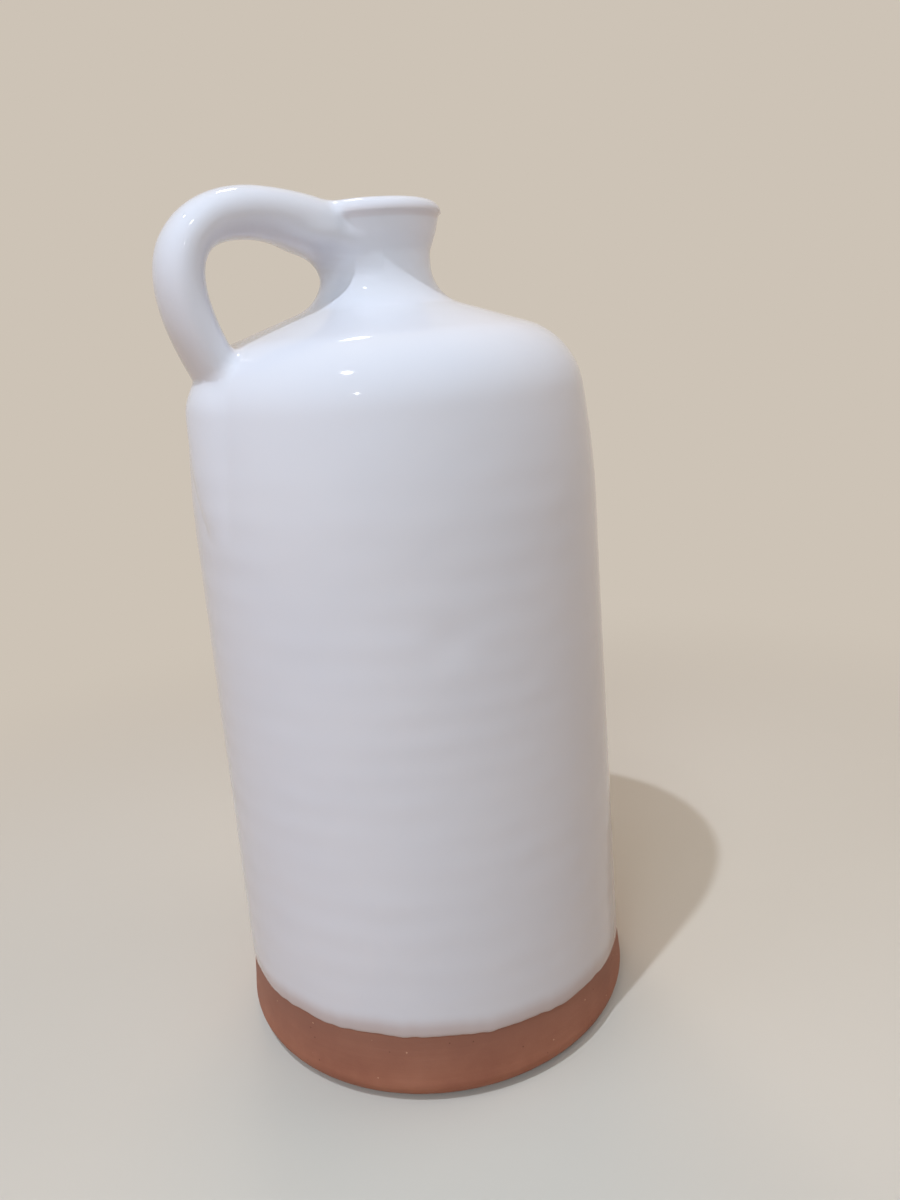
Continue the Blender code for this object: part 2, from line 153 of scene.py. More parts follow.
@dataclass(frozen=True)
class Finish:
    """One real material, from its colours and its relief."""

    name: str
    roughness: float
    ior: float = 1.5
    specular: float = 0.5

    def surface(self, tree: Tree, place: Socket) -> tuple[Socket, Socket, float]:
        """Add the nodes of the finish.

        Args:
            tree: The material's tree.
            place: The place on the piece, in its own metres.

        Returns:
            The colour, the relief's height and the relief's depth.
        """
        raise NotImplementedError

    def build(self) -> Material:
        """Make the material.

        Returns:
            The material, which reads only the piece's own places and attributes.
        """
        made = bpy.data.materials.new(self.name)
        made.use_nodes = True
        tree = made.node_tree
        place = add_node(tree, "ShaderNodeTexCoord").outputs["Object"]
        colour, height, depth = self.surface(tree, place)
        bump = add_node(tree, "ShaderNodeBump",
                        {"Strength": 1.0, "Distance": depth, "Height": height})
        shader = tree.nodes["Principled BSDF"]
        for socket, value in (("Roughness", self.roughness), ("IOR", self.ior),
                              ("Specular IOR Level", self.specular)):
            shader.inputs[socket].default_value = value
        tree.links.new(colour, shader.inputs["Base Color"])
        tree.links.new(bump.outputs["Normal"], shader.inputs["Normal"])
        return made


@dataclass(frozen=True)
class TinGlaze(Finish):
    """Tin-opacified lead-free glaze, poured and dipped over red earthenware.

    The tin makes it an opaque cool white with a wet, glassy face. It runs thin on sharp edges
    and along its own lower edge, where the red clay warms it. A line of painted shade under the
    lip takes the same warm grey. It reads the attributes glaze_thin_and_lip_shade, which holds
    the glaze's thinness with the painted shade under the lip laid over it, and above_edge.
    """

    name: str = "white_tin_glaze"
    white: str = "#E3E5EB"
    thick_white: str = "#DCE0E9"
    # Warm grey of the clay through thin glaze, also used for the painted shade line under the
    # lip
    clay_through_and_lip_shade: str = "#BEAAA4"
    pinhole: str = "#6E5B51"
    roughness: float = 0.07
    ior: float = 1.52
    run_height: float = 10 * MM
    # How far the clay shows through, by the place up the height that the glaze ran out over
    run_curve: tuple[tuple[float, float], ...] = (
        (0.0, 0.92), (0.06, 0.76), (0.30, 0.56), (0.50, 0.28), (0.72, 0.04), (1.0, 0.0))
    show_on_edges: float = 0.34
    drift_size: float = 40 * MM
    ripple_size: float = 9 * MM
    ripple_depth: float = 0.04 * MM
    pinhole_spacing: float = 27 * MM
    pinhole_radii: tuple[float, float] = (0.20 * MM, 0.42 * MM)
    pinhole_share: float = 0.20

    def surface(self, tree: Tree, place: Socket) -> tuple[Socket, Socket, float]:
        """Add the glaze's nodes."""
        thin, above = (add_node(tree, "ShaderNodeAttribute", {"attribute_name": name})
                       .outputs["Fac"] for name in ("glaze_thin_and_lip_shade", "above_edge"))
        # The coat's thickness drifts slowly
        drift = noise(tree, place, self.drift_size, 2.0)
        body = blend(tree, drift, self.white, self.thick_white)
        # The clay shows through on thin edges, and where the coat runs out above its edge. The
        # line under the lip is painted shade in the same warm grey
        run = work_out(tree, "MULTIPLY_ADD", drift, -3.0 * MM, 1.5 * MM)
        up = work_out(tree, "MULTIPLY", work_out(tree, "ADD", above, run),
                      1 / self.run_height, clamp=True)
        rim = add_node(tree, "ShaderNodeFloatCurve", {"Value": up})
        points = rim.mapping.curves[0].points
        for spot in self.run_curve[1:-1]:
            points.new(*spot)
        for point, spot in zip(points, self.run_curve):
            point.location = spot
        rim.mapping.update()
        # glaze_thin_and_lip_shade carries the painted shade line under the lip as well as the
        # thin edges
        edge = work_out(tree, "MULTIPLY", thin, self.show_on_edges)
        warm = blend(tree, work_out(tree, "MAXIMUM", rim.outputs[0], edge), body,
                     self.clay_through_and_lip_shade)
        # Gas breaks through the glaze here and there, in pinholes half a millimetre wide
        distance, random = cells(tree, place, self.pinhole_spacing)
        rare = work_out(tree, "GREATER_THAN", random[0], 1 - self.pinhole_share)
        inner, outer = (radius / self.pinhole_spacing for radius in self.pinhole_radii)
        pit = work_out(tree, "MULTIPLY", rare,
                       ranged(tree, distance, inner, outer, 1.0, 0.0, "SMOOTHSTEP"))
        # The glassy face is barely wavy
        sunk = work_out(tree, "MULTIPLY_ADD", pit, -4.0,
                        noise(tree, place, self.ripple_size, 1.0, 0.4))
        return blend(tree, pit, warm, self.pinhole), sunk, self.ripple_depth


@dataclass(frozen=True)
class RedEarthenware(Finish):
    """Red earthenware fired at about 1000 degrees, left bare and smoothed on the wheel.

    It is matt with a faint sheen where a rib pressed the fine clay flat. The wheel leaves
    close rings in it, stacked along Z, and sand and iron leave pale and dark specks.
    """

    name: str = "red_earthenware"
    clay: str = "#A66D56"
    pale_clay: str = "#B07860"
    dark_clay: str = "#965E4A"
    # Darker clay painted under the glaze's edge as shade
    clay_shade_near_glaze: str = "#8E6354"
    sand: str = "#C59C82"
    iron: str = "#73483A"
    roughness: float = 0.62
    cloud_size: float = 18 * MM
    # Share of the cloudy tone at which each clay colour stands
    tone_stops: tuple[float, float, float] = (0.30, 0.52, 0.72)
    ring_pitch: float = 1.3 * MM
    relief_depth: float = 0.07 * MM
    # How the rings' noise is squeezed, so that they run round the foot
    ring_squeeze: tuple[float, float, float] = (0.04, 0.04, 1.0)
    # Heights between which the painted shade under the glaze's edge comes in
    clay_shade_rise: tuple[float, float] = (3 * MM, 22 * MM)
    grit_spacing: float = 1.6 * MM
    grain_size: float = 0.5 * MM

    def surface(self, tree: Tree, place: Socket) -> tuple[Socket, Socket, float]:
        """Add the clay's nodes."""
        tone = add_node(tree, "ShaderNodeValToRGB",
                        {0: noise(tree, place, self.cloud_size, 4.0, 0.6)})
        stops = tone.color_ramp.elements
        stops.new(self.tone_stops[1])
        for stop, place_on, tint in zip(stops, self.tone_stops,
                                        (self.dark_clay, self.clay, self.pale_clay)):
            stop.position, stop.color = place_on, linear(tint)
        flat = add_node(tree, "ShaderNodeMapping", {"Scale": self.ring_squeeze, "Vector": place})
        rings = noise(tree, flat.outputs["Vector"], self.ring_pitch, 2.0, 0.55)
        colour = blend(tree, ranged(tree, rings, 0.35, 0.75, 0.0, 0.28),
                       tone.outputs["Color"], self.dark_clay)
        # Painted shade and light: the clay is darker up toward the glaze's edge and lighter at
        # the foot, where light catches its rounded edge
        rise = add_node(tree, "ShaderNodeSeparateXYZ", {0: place}).outputs["Z"]
        colour = blend(tree, ranged(tree, rise, *self.clay_shade_rise, 0.0, 0.75), colour,
                       self.clay_shade_near_glaze)
        # Specks of sand and iron, a third of a millimetre to half a millimetre wide
        distance, random = cells(tree, place, self.grit_spacing)
        dot = ranged(tree, distance, 0.10, 0.24, 1.0, 0.0, "SMOOTHSTEP")
        for channel, least, tint in ((0, 0.975, self.sand), (1, 0.96, self.iron)):
            some = work_out(tree, "GREATER_THAN", random[channel], least)
            colour = blend(tree, work_out(tree, "MULTIPLY", some, dot), colour, tint)
        relief = work_out(tree, "MULTIPLY_ADD", noise(tree, place, self.grain_size, 2.0, 0.7),
                          0.45, rings)
        return colour, relief, self.relief_depth


@dataclass(frozen=True)
class JoiningSlip(Finish):
    """Clay and water stirred to a cream, which lutes the handle on and fires to clay."""

    name: str = "joining_slip"
    clay: str = "#9A6049"
    crust: str = "#875140"
    roughness: float = 0.85
    curd_size: float = 2.5 * MM
    curd_depth: float = 0.15 * MM

    def surface(self, tree: Tree, place: Socket) -> tuple[Socket, Socket, float]:
        """Add the fired slip's nodes."""
        curds = noise(tree, place, self.curd_size, 3.0)
        return blend(tree, curds, self.clay, self.crust), curds, self.curd_depth


# Outlines in the (radius, height) plane

def unit(rows: Array) -> Array:
    """Return vectors, one a row or a single one, with a length of 1."""
    return rows / np.maximum(np.linalg.norm(rows, axis=-1, keepdims=True), TINY)


def from_axis(points: Array) -> Array:
    """Return each point's distance from the wheel's axis."""
    return np.hypot(points[..., 0], points[..., 1])


def rounded(corners: list[Corner], arc_step: float, chord: float = 1.0) -> Array:
    """Turn (point, radius) corners into a line of points with each corner as an arc.

    Args:
        corners: Each corner's place and its radius.
        arc_step: Largest turn between two points of an arc, in radians.
        chord: Largest distance between two points of an arc.

    Returns:
        An array of (radius, height) points.
    """
    places = np.array([corner for corner, _ in corners])
    legs = np.diff(places, axis=0)
    ways = unit(legs)
    halves = [math.pi / 2] * len(corners)
    halves[1:-1] = [math.acos(np.clip(-before @ after, -1, 1)) / 2
                    for before, after in zip(ways, ways[1:])]
    wanted = [radius / math.tan(half) for (_, radius), half in zip(corners, halves)]
    reaches = list(wanted)
    for index, leg in enumerate(legs):
        room = ARC_SHARE * np.linalg.norm(leg)
        share = min(1.0, room / max(wanted[index] + wanted[index + 1], TINY))
        for near in (index, index + 1):
            reaches[near] = min(reaches[near], wanted[near] * share)
    points = [places[0]]
    for index in range(1, len(corners) - 1):
        corner, half_angle, reach = places[index], halves[index], reaches[index]
        back, ahead = -ways[index - 1], ways[index]
        turn = math.pi - 2 * half_angle
        if reach == 0 or turn < LEAST_TURN:
            points.append(corner)
            continue
        radius = reach * math.tan(half_angle)
        centre = corner + unit(back + ahead) * (radius / math.sin(half_angle))
        start = corner + back * reach - centre
        outward = corner - centre
        side = 1 if start[0] * outward[1] - start[1] * outward[0] > 0 else -1
        steps = max(1, math.ceil(turn / arc_step), math.ceil(turn * radius / chord))
        for angle in side * turn * np.arange(steps + 1) / steps:
            c, s = math.cos(angle), math.sin(angle)
            points.append(centre + (c * start[0] - s * start[1], s * start[0] + c * start[1]))
    return np.vstack((points, places[-1:]))


def spline(corners: list[tuple[float, float]], steps: int) -> Array:
    """Draw a smooth line with corners, as a cubic B-spline that meets the first and last.

    Args:
        corners: Points that pull the line toward them.
        steps: How many steps the line has.

    Returns:
        An array of (radius, height) points.
    """
    last = len(corners) - 3
    knots = np.concatenate((np.zeros(3), np.arange(last + 1), np.full(3, last)))
    line = []
    for place in np.linspace(0, last, steps + 1):
        span = min(int(place), last - 1)
        near = [np.array(corner) for corner in corners[span:span + 4]]
        for level in (1, 2, 3):
            for index in range(3, level - 1, -1):
                low, high = knots[span + index], knots[span + index + 4 - level]
                share = (place - low) / (high - low)
                near[index] = near[index - 1] + share * (near[index] - near[index - 1])
        line.append(near[3])
    return np.array(line)


def quarter(start: Array, end: Array, height_first: bool, steps: int) -> Array:
    """Return the points of a quarter ellipse between two points, without its start.

    Args:
        start: Where it begins.
        end: Where it ends.
        height_first: Whether it sets off along the height.
        steps: How many points it has.

    Returns:
        An array of (radius, height) points.
    """
    angle = np.linspace(0, math.pi / 2, steps + 1)[1:, None]
    lead, lag = np.sin(angle), 1 - np.cos(angle)
    across, up = (lag, lead) if height_first else (lead, lag)
    return start + (end - start) * np.hstack((across, up))


def right_normals(line: Array) -> Array:
    """Return the unit normal on the right of a line at each of its points."""
    legs = unit(np.diff(line, axis=0))
    sides = unit(np.vstack((legs[:1], legs[:-1] + legs[1:], legs[-1:])))
    return np.column_stack((sides[:, 1], -sides[:, 0]))


def grown(line: Array, distance: float | Array) -> Array:
    """Move a line to its right by a distance."""
    return line + right_normals(line) * np.reshape(distance, (-1, 1))


def respaced(line: Array, steps: Steps) -> Array:
    """Space a line's points anew, with its own points kept where it bends.

    Args:
        line: The line.
        steps: (height, spacing) pairs, rising; the spacing holds up to that height.

    Returns:
        The finer line.
    """
    points = [line[0]]
    for start, end in zip(line, line[1:]):
        middle = (start[1] + end[1]) / 2
        spacing = next((s for top, s in steps if middle <= top), steps[-1][1])
        count = max(1, math.ceil(np.linalg.norm(end - start) / spacing - TINY))
        points += [start + (end - start) * step / count for step in range(1, count + 1)]
    return np.array(points)


def softened(normals: Array, passes: int, crisp: float = 0.2) -> Array:
    """Even out the normals along a line, but for its crisp corners.

    Args:
        normals: One normal a point.
        passes: How many times each is blended with its neighbours.
        crisp: Turn between neighbours that counts as a corner, in radians.

    Returns:
        The blended normals.
    """
    turns = np.linalg.norm(normals[2:] - normals[:-2], axis=1)
    free = (turns < crisp)[:, None]
    for _ in range(passes):
        blended = (normals[:-2] + 2 * normals[1:-1] + normals[2:]) / 4
        normals[1:-1] = np.where(free, blended, normals[1:-1])
    return unit(normals)


def nearest_on(line: Array, points: Array, passes: int = 0) -> tuple[Array, ...]:
    """Find the nearest place on a line for each point.

    Args:
        line: The line's points.
        points: The points to place.
        passes: How many times the line's normals are evened out.

    Returns:
        The signed distance to the right, the unit normal there, and the place along
        the line counted in its points.
    """
    normals = softened(right_normals(line), passes)
    best = np.full(len(points), np.inf)
    away = np.zeros(len(points))
    normal = np.zeros((len(points), 2))
    place = np.zeros(len(points))
    for index, (start, end) in enumerate(zip(line, line[1:])):
        leg = end - start
        share = np.clip((points - start) @ leg / (leg @ leg), 0, 1)
        off = points - start - share[:, None] * leg
        gap = (off ** 2).sum(axis=1)
        closer = gap < best
        blended = normals[index] + share[:, None] * (normals[index + 1] - normals[index])
        best = np.where(closer, gap, best)
        side = np.sign((off * blended).sum(axis=1))
        away = np.where(closer, side * np.sqrt(gap), away)
        normal[closer] = blended[closer]
        place = np.where(closer, index + share, place)
    return away, unit(normal), place


def smooth(value: Array, start: float = 0, length: float = 1) -> Array:
    """Ease from 0 at a start to 1 a length further on; a negative length eases down."""
    share = np.clip((value - start) / length, 0, 1)
    return share * share * (3 - 2 * share)


@dataclass
class ThrownForm:
    """Sizes of the thrown vessel and its outlines.

    They are the same as the solid's, but for the foot's softer edge.
    """

    body_radius: float = 0.0669
    foot_spread: float = 0.0025
    foot_edge_round: float = 0.0065
    flare_height: float = 0.026
    flare_round: float = 0.150
    wall_draw_in: float = 0.0024
    wall_height: float = 0.193
    wall_round: float = 0.308
    shoulder_draw_in: float = 0.0045
    shoulder_rise: float = 0.0356
    shoulder_round: float = 0.0236
    cone_rise: float = 0.0150
    neck_radius: float = 0.0164
    neck_root_round: float = 0.0135
    neck_length: float = 0.0133
    neck_flare_round: float = 0.007
    lip_flare: float = 0.0044
    lip_flare_rise: float = 0.0109
    lip_outer_round: float = 0.0048
    lip_band: float = 0.0034
    lip_inner_drop: float = 0.0050
    lip_steps: int = 12
    wall_thickness: float = 0.0055
    floor_thickness: float = 0.0070
    floor_round: float = 0.012
    bore_radius: float = 0.0125
    bore_root_round: float = 0.008
    mouth_coat_depth: float = 0.0085
    arc_step: float = math.radians(2.5)

    @property
    def shoulder_height(self) -> float:
        """Height of the shoulder's corner."""
        return self.wall_height + self.shoulder_rise

    @property
    def shoulder_radius(self) -> float:
        """Radius of the shoulder's corner."""
        return self.body_radius - self.wall_draw_in - self.shoulder_draw_in

    @property
    def lip_edge(self) -> Array:
        """Crisp edge under the lip."""
        height = (self.shoulder_height + self.cone_rise + self.neck_length
                  + self.lip_flare_rise)
        return np.array((self.neck_radius + self.lip_flare, height))

    @property
    def lip_height(self) -> float:
        """Height of the lip's crest."""
        return self.lip_edge[1] + self.lip_band

    def outer_corners(self) -> list[Corner]:
        """Corners of the clay's outside, from the foot's middle to the lip's edge."""
        root = self.shoulder_height + self.cone_rise
        return [
            ((0.0, 0.0), 0),
            ((self.body_radius + self.foot_spread, 0.0), self.foot_edge_round),
            ((self.body_radius, self.flare_height), self.flare_round),
            ((self.body_radius - self.wall_draw_in, self.wall_height), self.wall_round),
            ((self.shoulder_radius, self.shoulder_height), self.shoulder_round),
            ((self.neck_radius, root), self.neck_root_round),
            ((self.neck_radius, root + self.neck_length), self.neck_flare_round),
            (tuple(self.lip_edge), 0),
        ]

    def lip(self) -> Array:
        """The rounded lip, out over its crest and down to the bore."""
        crest = np.array((self.lip_edge[0] - self.lip_outer_round, self.lip_height))
        bore = np.array((self.bore_radius, self.lip_height - self.lip_inner_drop))
        return np.vstack((quarter(self.lip_edge, crest, True, self.lip_steps),
                          quarter(crest, bore, False, self.lip_steps)))

    def outside(self, chord: float = 1.0) -> Array:
        """The clay's outside and lip, down to where the outer coat ends in the mouth."""
        end = (self.bore_radius, self.lip_height - self.mouth_coat_depth)
        line = rounded(self.outer_corners(), self.arc_step, chord)
        return np.vstack((line, self.lip(), end))

    def inside(self) -> Array:
        """The clay's inside, from the mouth coat's end to the middle of the floor."""
        outer = [np.array(corner) for corner, _ in self.outer_corners()]
        inset = [self.inset_corner(*outer[first:first + 3]) for first in (1, 2, 3, 4)]
        low, top, shoulder, cone = inset
        climb = (cone[1] - shoulder[1]) / (cone[0] - shoulder[0])
        bore_root = (self.bore_radius, shoulder[1] + climb * (self.bore_radius - shoulder[0]))
        start = (self.bore_radius, self.lip_height - self.mouth_coat_depth)
        return rounded([
            (start, 0), (bore_root, self.bore_root_round),
            (tuple(shoulder), self.shoulder_round - self.wall_thickness),
            (tuple(top), self.wall_round),
            ((low[0], self.floor_thickness), self.floor_round),
            ((0.0, self.floor_thickness), 0),
        ], self.arc_step)

    def inset_corner(self, before: Array, corner: Array, after: Array) -> Array:
        """Return a corner of the outside moved in by the wall's thickness.

        Args:
            before: The corner before it.
            corner: The corner.
            after: The corner after it.

        Returns:
            Where the two inner faces meet.
        """
        line = np.array((before, corner, after))
        first, mitre = -right_normals(line[:2])[0], -right_normals(line)[1]
        return corner + mitre * (self.wall_thickness / (mitre @ first))

    def radius_at(self, height: float | Array) -> float | Array:
        """Radius of the clay's outside at a height on the wall or the shoulder."""
        line = rounded(self.outer_corners(), self.arc_step)
        start = int(np.argmax(line[:, 0]))
        return np.interp(height, line[start:, 1], line[start:, 0])


@dataclass
class StrapForm:
    """Sizes of the pulled strap, the same as the solid's, and its distance field."""

    form: ThrownForm
    root_drop: float = 0.0084
    crest_out: float = 0.0135
    crest_rise: float = 0.0009
    bend_out: float = 0.0053
    bend_drop: float = 0.0019
    hip_in: float = 0.0011
    hip_rise: float = 0.0155
    foot_inset: float = 0.0050
    foot_drop: float = 0.0030
    root_half: tuple[float, float] = (0.0125, 0.0076)
    crest_half: tuple[float, float] = (0.0107, 0.0064)
    bend_half: tuple[float, float] = (0.0107, 0.0056)
    foot_half: tuple[float, float] = (0.0110, 0.0057)
    tail_length: float = 0.043
    tail_proud: float = 0.0026
    tail_half_width: float = 0.0142
    tail_spread: float = 0.25
    tail_tip_half: tuple[float, float] = (0.0050, 0.0030)
    tail_lean: float = 0.0075
    squareness: float = 2.15
    # Shares of the strap's length at which the width and the thickness are given
    width_stops: tuple[float, ...] = (0, 0.25, 0.70, 1)
    thick_stops: tuple[float, ...] = (0, 0.30, 0.60, 1)
    route_steps: int = 160
    step: float = 0.0012
    root_reach: float = 0.012
    root_sink: float = 0.0009
    # Drops below the lip's crest between which the root is smeared onto the lip
    smear_drop: tuple[float, float] = (0.012, 0.001)

    def route(self) -> Array:
        """Middle line of the strap, from its root to the shoulder."""
        form = self.form
        crest = (form.lip_edge[0] + self.crest_out, form.lip_height + self.crest_rise)
        bend = (form.shoulder_radius + self.bend_out, crest[1] - self.bend_drop)
        return spline([
            ((form.bore_radius + form.neck_radius) / 2, form.lip_height - self.root_drop),
            crest, bend, (bend[0] - self.hip_in, form.shoulder_height + self.hip_rise),
            (form.shoulder_radius - self.foot_inset, form.shoulder_height - self.foot_drop),
        ], self.route_steps)

    def root_end(self, height: Array) -> Array:
        """Distance from the axis at which the root ends, smeared onto the lip at the top."""
        form = self.form
        low, high = self.smear_drop
        return np.interp(height, (form.lip_height - low, form.lip_height - high),
                         ((form.bore_radius + form.neck_radius) / 2 - self.root_sink,
                          form.lip_edge[0] - form.lip_outer_round))

    def stations(self) -> Array:
        """Sections of the strap and its tail.

        Returns:
            Rows of radius, height, half width, half thickness and lean.
        """
        route = self.route()
        lengths = np.append(0, np.cumsum(np.linalg.norm(np.diff(route, axis=0), axis=1)))
        share = np.linspace(0, 1, round(lengths[-1] / self.step) + 1)
        middle = np.column_stack([np.interp(share * lengths[-1], lengths, route[:, axis])
                                  for axis in (0, 1)])
        halves = zip(self.root_half, self.crest_half, self.bend_half, self.foot_half)
        width, thick = (self.ramp(share, stops, values) for stops, values
                        in zip((self.width_stops, self.thick_stops), halves))
        strap = np.column_stack((middle, width, thick, np.zeros(len(share))))
        return np.vstack((strap, self.tail(middle[-1])))

    @staticmethod
    def ramp(share: Array, stops: tuple, values: tuple) -> Array:
        """Ease through values at stops along the strap."""
        eased = np.zeros(len(share))
        for low, high, first, second in zip(stops, stops[1:], values, values[1:]):
            here = (share >= low) & (share <= high)
            eased[here] = first + (second - first) * smooth(share[here], low, high - low)
        return eased

    def tail(self, start: Array) -> Array:
        """Sections of the thumbed tail, sinking into the wall as it runs down."""
        share = np.linspace(0, 1, round(self.tail_length / self.step) + 1)[1:]
        height = start[1] - self.tail_length * share
        thick = self.foot_half[1] + (self.tail_tip_half[1] - self.foot_half[1]) * smooth(share)
        surface = self.form.radius_at(height) + self.tail_proud * (1 - share) - thick
        tip = self.tail_tip_half[0]
        taper = tip + (self.tail_half_width - tip) * (1 - share ** 2)
        spread = smooth(share, 0, self.tail_spread)
        radius = start[0] + (surface - start[0]) * spread
        width = self.foot_half[0] + (taper - self.foot_half[0]) * spread
        return np.column_stack((radius, height, width, thick, self.tail_lean * share ** 2))

    def distance(self, points: Array, growth: float) -> tuple[Array, ...]:
        """Measure points against the strap's grown surface.

        Args:
            points: Places in the row frame.
            growth: How far the surface stands out from the clay.

        Returns:
            The distance outside the surface and the outward direction.
        """
        stations = self.stations()
        inward = unit((stations[0] - stations[1]) * (1, 1, 0, 0, 0))
        stations = np.vstack((stations[0] + self.root_reach * inward, stations))
        plane = np.column_stack((-points[:, 0], points[:, 2]))
        away, normal, place = nearest_on(stations[:, :2], plane)
        index = np.arange(len(stations))
        half_width, half_thick, lean = (
            np.interp(place, index, stations[:, column]) + more
            for column, more in ((2, growth), (3, growth), (4, 0)))
        across, through = points[:, 1] + lean, -away
        power = self.squareness
        wide, thick = np.abs(across) / half_width, np.abs(through) / half_thick
        level = np.maximum((wide ** power + thick ** power) ** (1 / power), TINY)
        slope_wide = np.sign(across) * (wide / level) ** (power - 1) / half_width
        slope_thick = np.sign(through) * (thick / level) ** (power - 1) / half_thick
        slope = np.maximum(np.hypot(slope_wide, slope_thick), TINY)
        gap = (level - 1) / slope
        outward = np.column_stack((normal[:, 0] * slope_thick, slope_wide,
                                   -normal[:, 1] * slope_thick)) / slope[:, None]
        # The root ends in the neck's clay, on a face bent round the bore
        radius = np.maximum(from_axis(points), TINY)
        end_gap = self.root_end(points[:, 2]) - growth - radius
        past = end_gap > gap
        gap[past] = end_gap[past]
        outward[past] = (points * (-1, -1, 0) / radius[:, None])[past]
        return gap, outward


# Mesh building

def grid_faces(rows: int, columns: int, closed_rows: bool) -> list[list[int]]:
    """Return the quads between rings of points.

    Args:
        rows: How many rings.
        columns: How many points in each ring.
        closed_rows: Whether the last ring joins the first.

    Returns:
        Four point numbers a face.
    """
    row, column = np.meshgrid(np.arange(rows if closed_rows else rows - 1),
                              np.arange(columns), indexing="ij")
    after, beside = (row + 1) % rows, (column + 1) % columns
    corners = ((row, column), (row, beside), (after, beside), (after, column))
    return np.stack([ring * columns + place for ring, place in corners],
                    axis=-1).reshape(-1, 4).tolist()


def finish_faces(mesh: Mesh) -> None:
    """Turn a closed mesh's faces out and shade them smooth."""
    body = bmesh.new()
    body.from_mesh(mesh)
    bmesh.ops.recalc_face_normals(body, faces=body.faces)
    body.to_mesh(mesh)
    body.free()
    mesh.shade_smooth()


def new_object(name: str, points: Array, edges: list = (),
               faces: list = ()) -> Item:
    """Make a mesh object.

    Args:
        name: The piece's name.
        points: Its points.
        edges: Its loose edges, as point numbers.
        faces: Its faces, as point numbers.

    Returns:
        The object, linked to the scene.
    """
    mesh = bpy.data.meshes.new(name)
    mesh.from_pydata(points.tolist(), edges, faces)
    return linked(bpy.data.objects.new(name, mesh))


def linked(item: Item) -> Item:
    """Link an object to the scene and return it."""
    bpy.context.scene.collection.objects.link(item)
    return item


def applied(item: Item) -> Item:
    """Turn an object's modifiers into its mesh.

    Args:
        item: The object.

    Returns:
        The same object, with a plain mesh and no modifier.
    """
    bpy.context.view_layer.update()
    evaluated = item.evaluated_get(bpy.context.evaluated_depsgraph_get())
    mesh = bpy.data.meshes.new_from_object(evaluated)
    item.modifiers.clear()
    old = item.data
    item.data = mesh
    mesh.name = item.name
    bpy.data.meshes.remove(old)
    return item


def values_of(items: bpy.types.bpy_prop_collection, name: str, kind: type,
              width: int) -> Array:
    """Return a named value of each of a mesh's points or edges, one row an item."""
    flat = np.empty(len(items) * width, kind)
    items.foreach_get(name, flat)
    return flat.reshape(-1, width)


def waves(points: Array, length: float, seed: int, count: int = 7) -> Array:
    """Return a soft random value from -1 to 1 at each point.

    Args:
        points: The places.
        length: About how far apart its bumps are.
        seed: The seed of its directions.
        count: How many plane waves are added.

    Returns:
        One value a point.
    """
    random = np.random.default_rng(seed)
    total = np.zeros(len(points))
    for _ in range(count):
        arrow = random.normal(size=3)
        arrow *= 2 * math.pi / (length * random.uniform(0.7, 1.6)) / np.linalg.norm(arrow)
        total += np.sin(points @ arrow + random.uniform(0, 2 * math.pi))
    return total / count ** 0.5 / 1.6


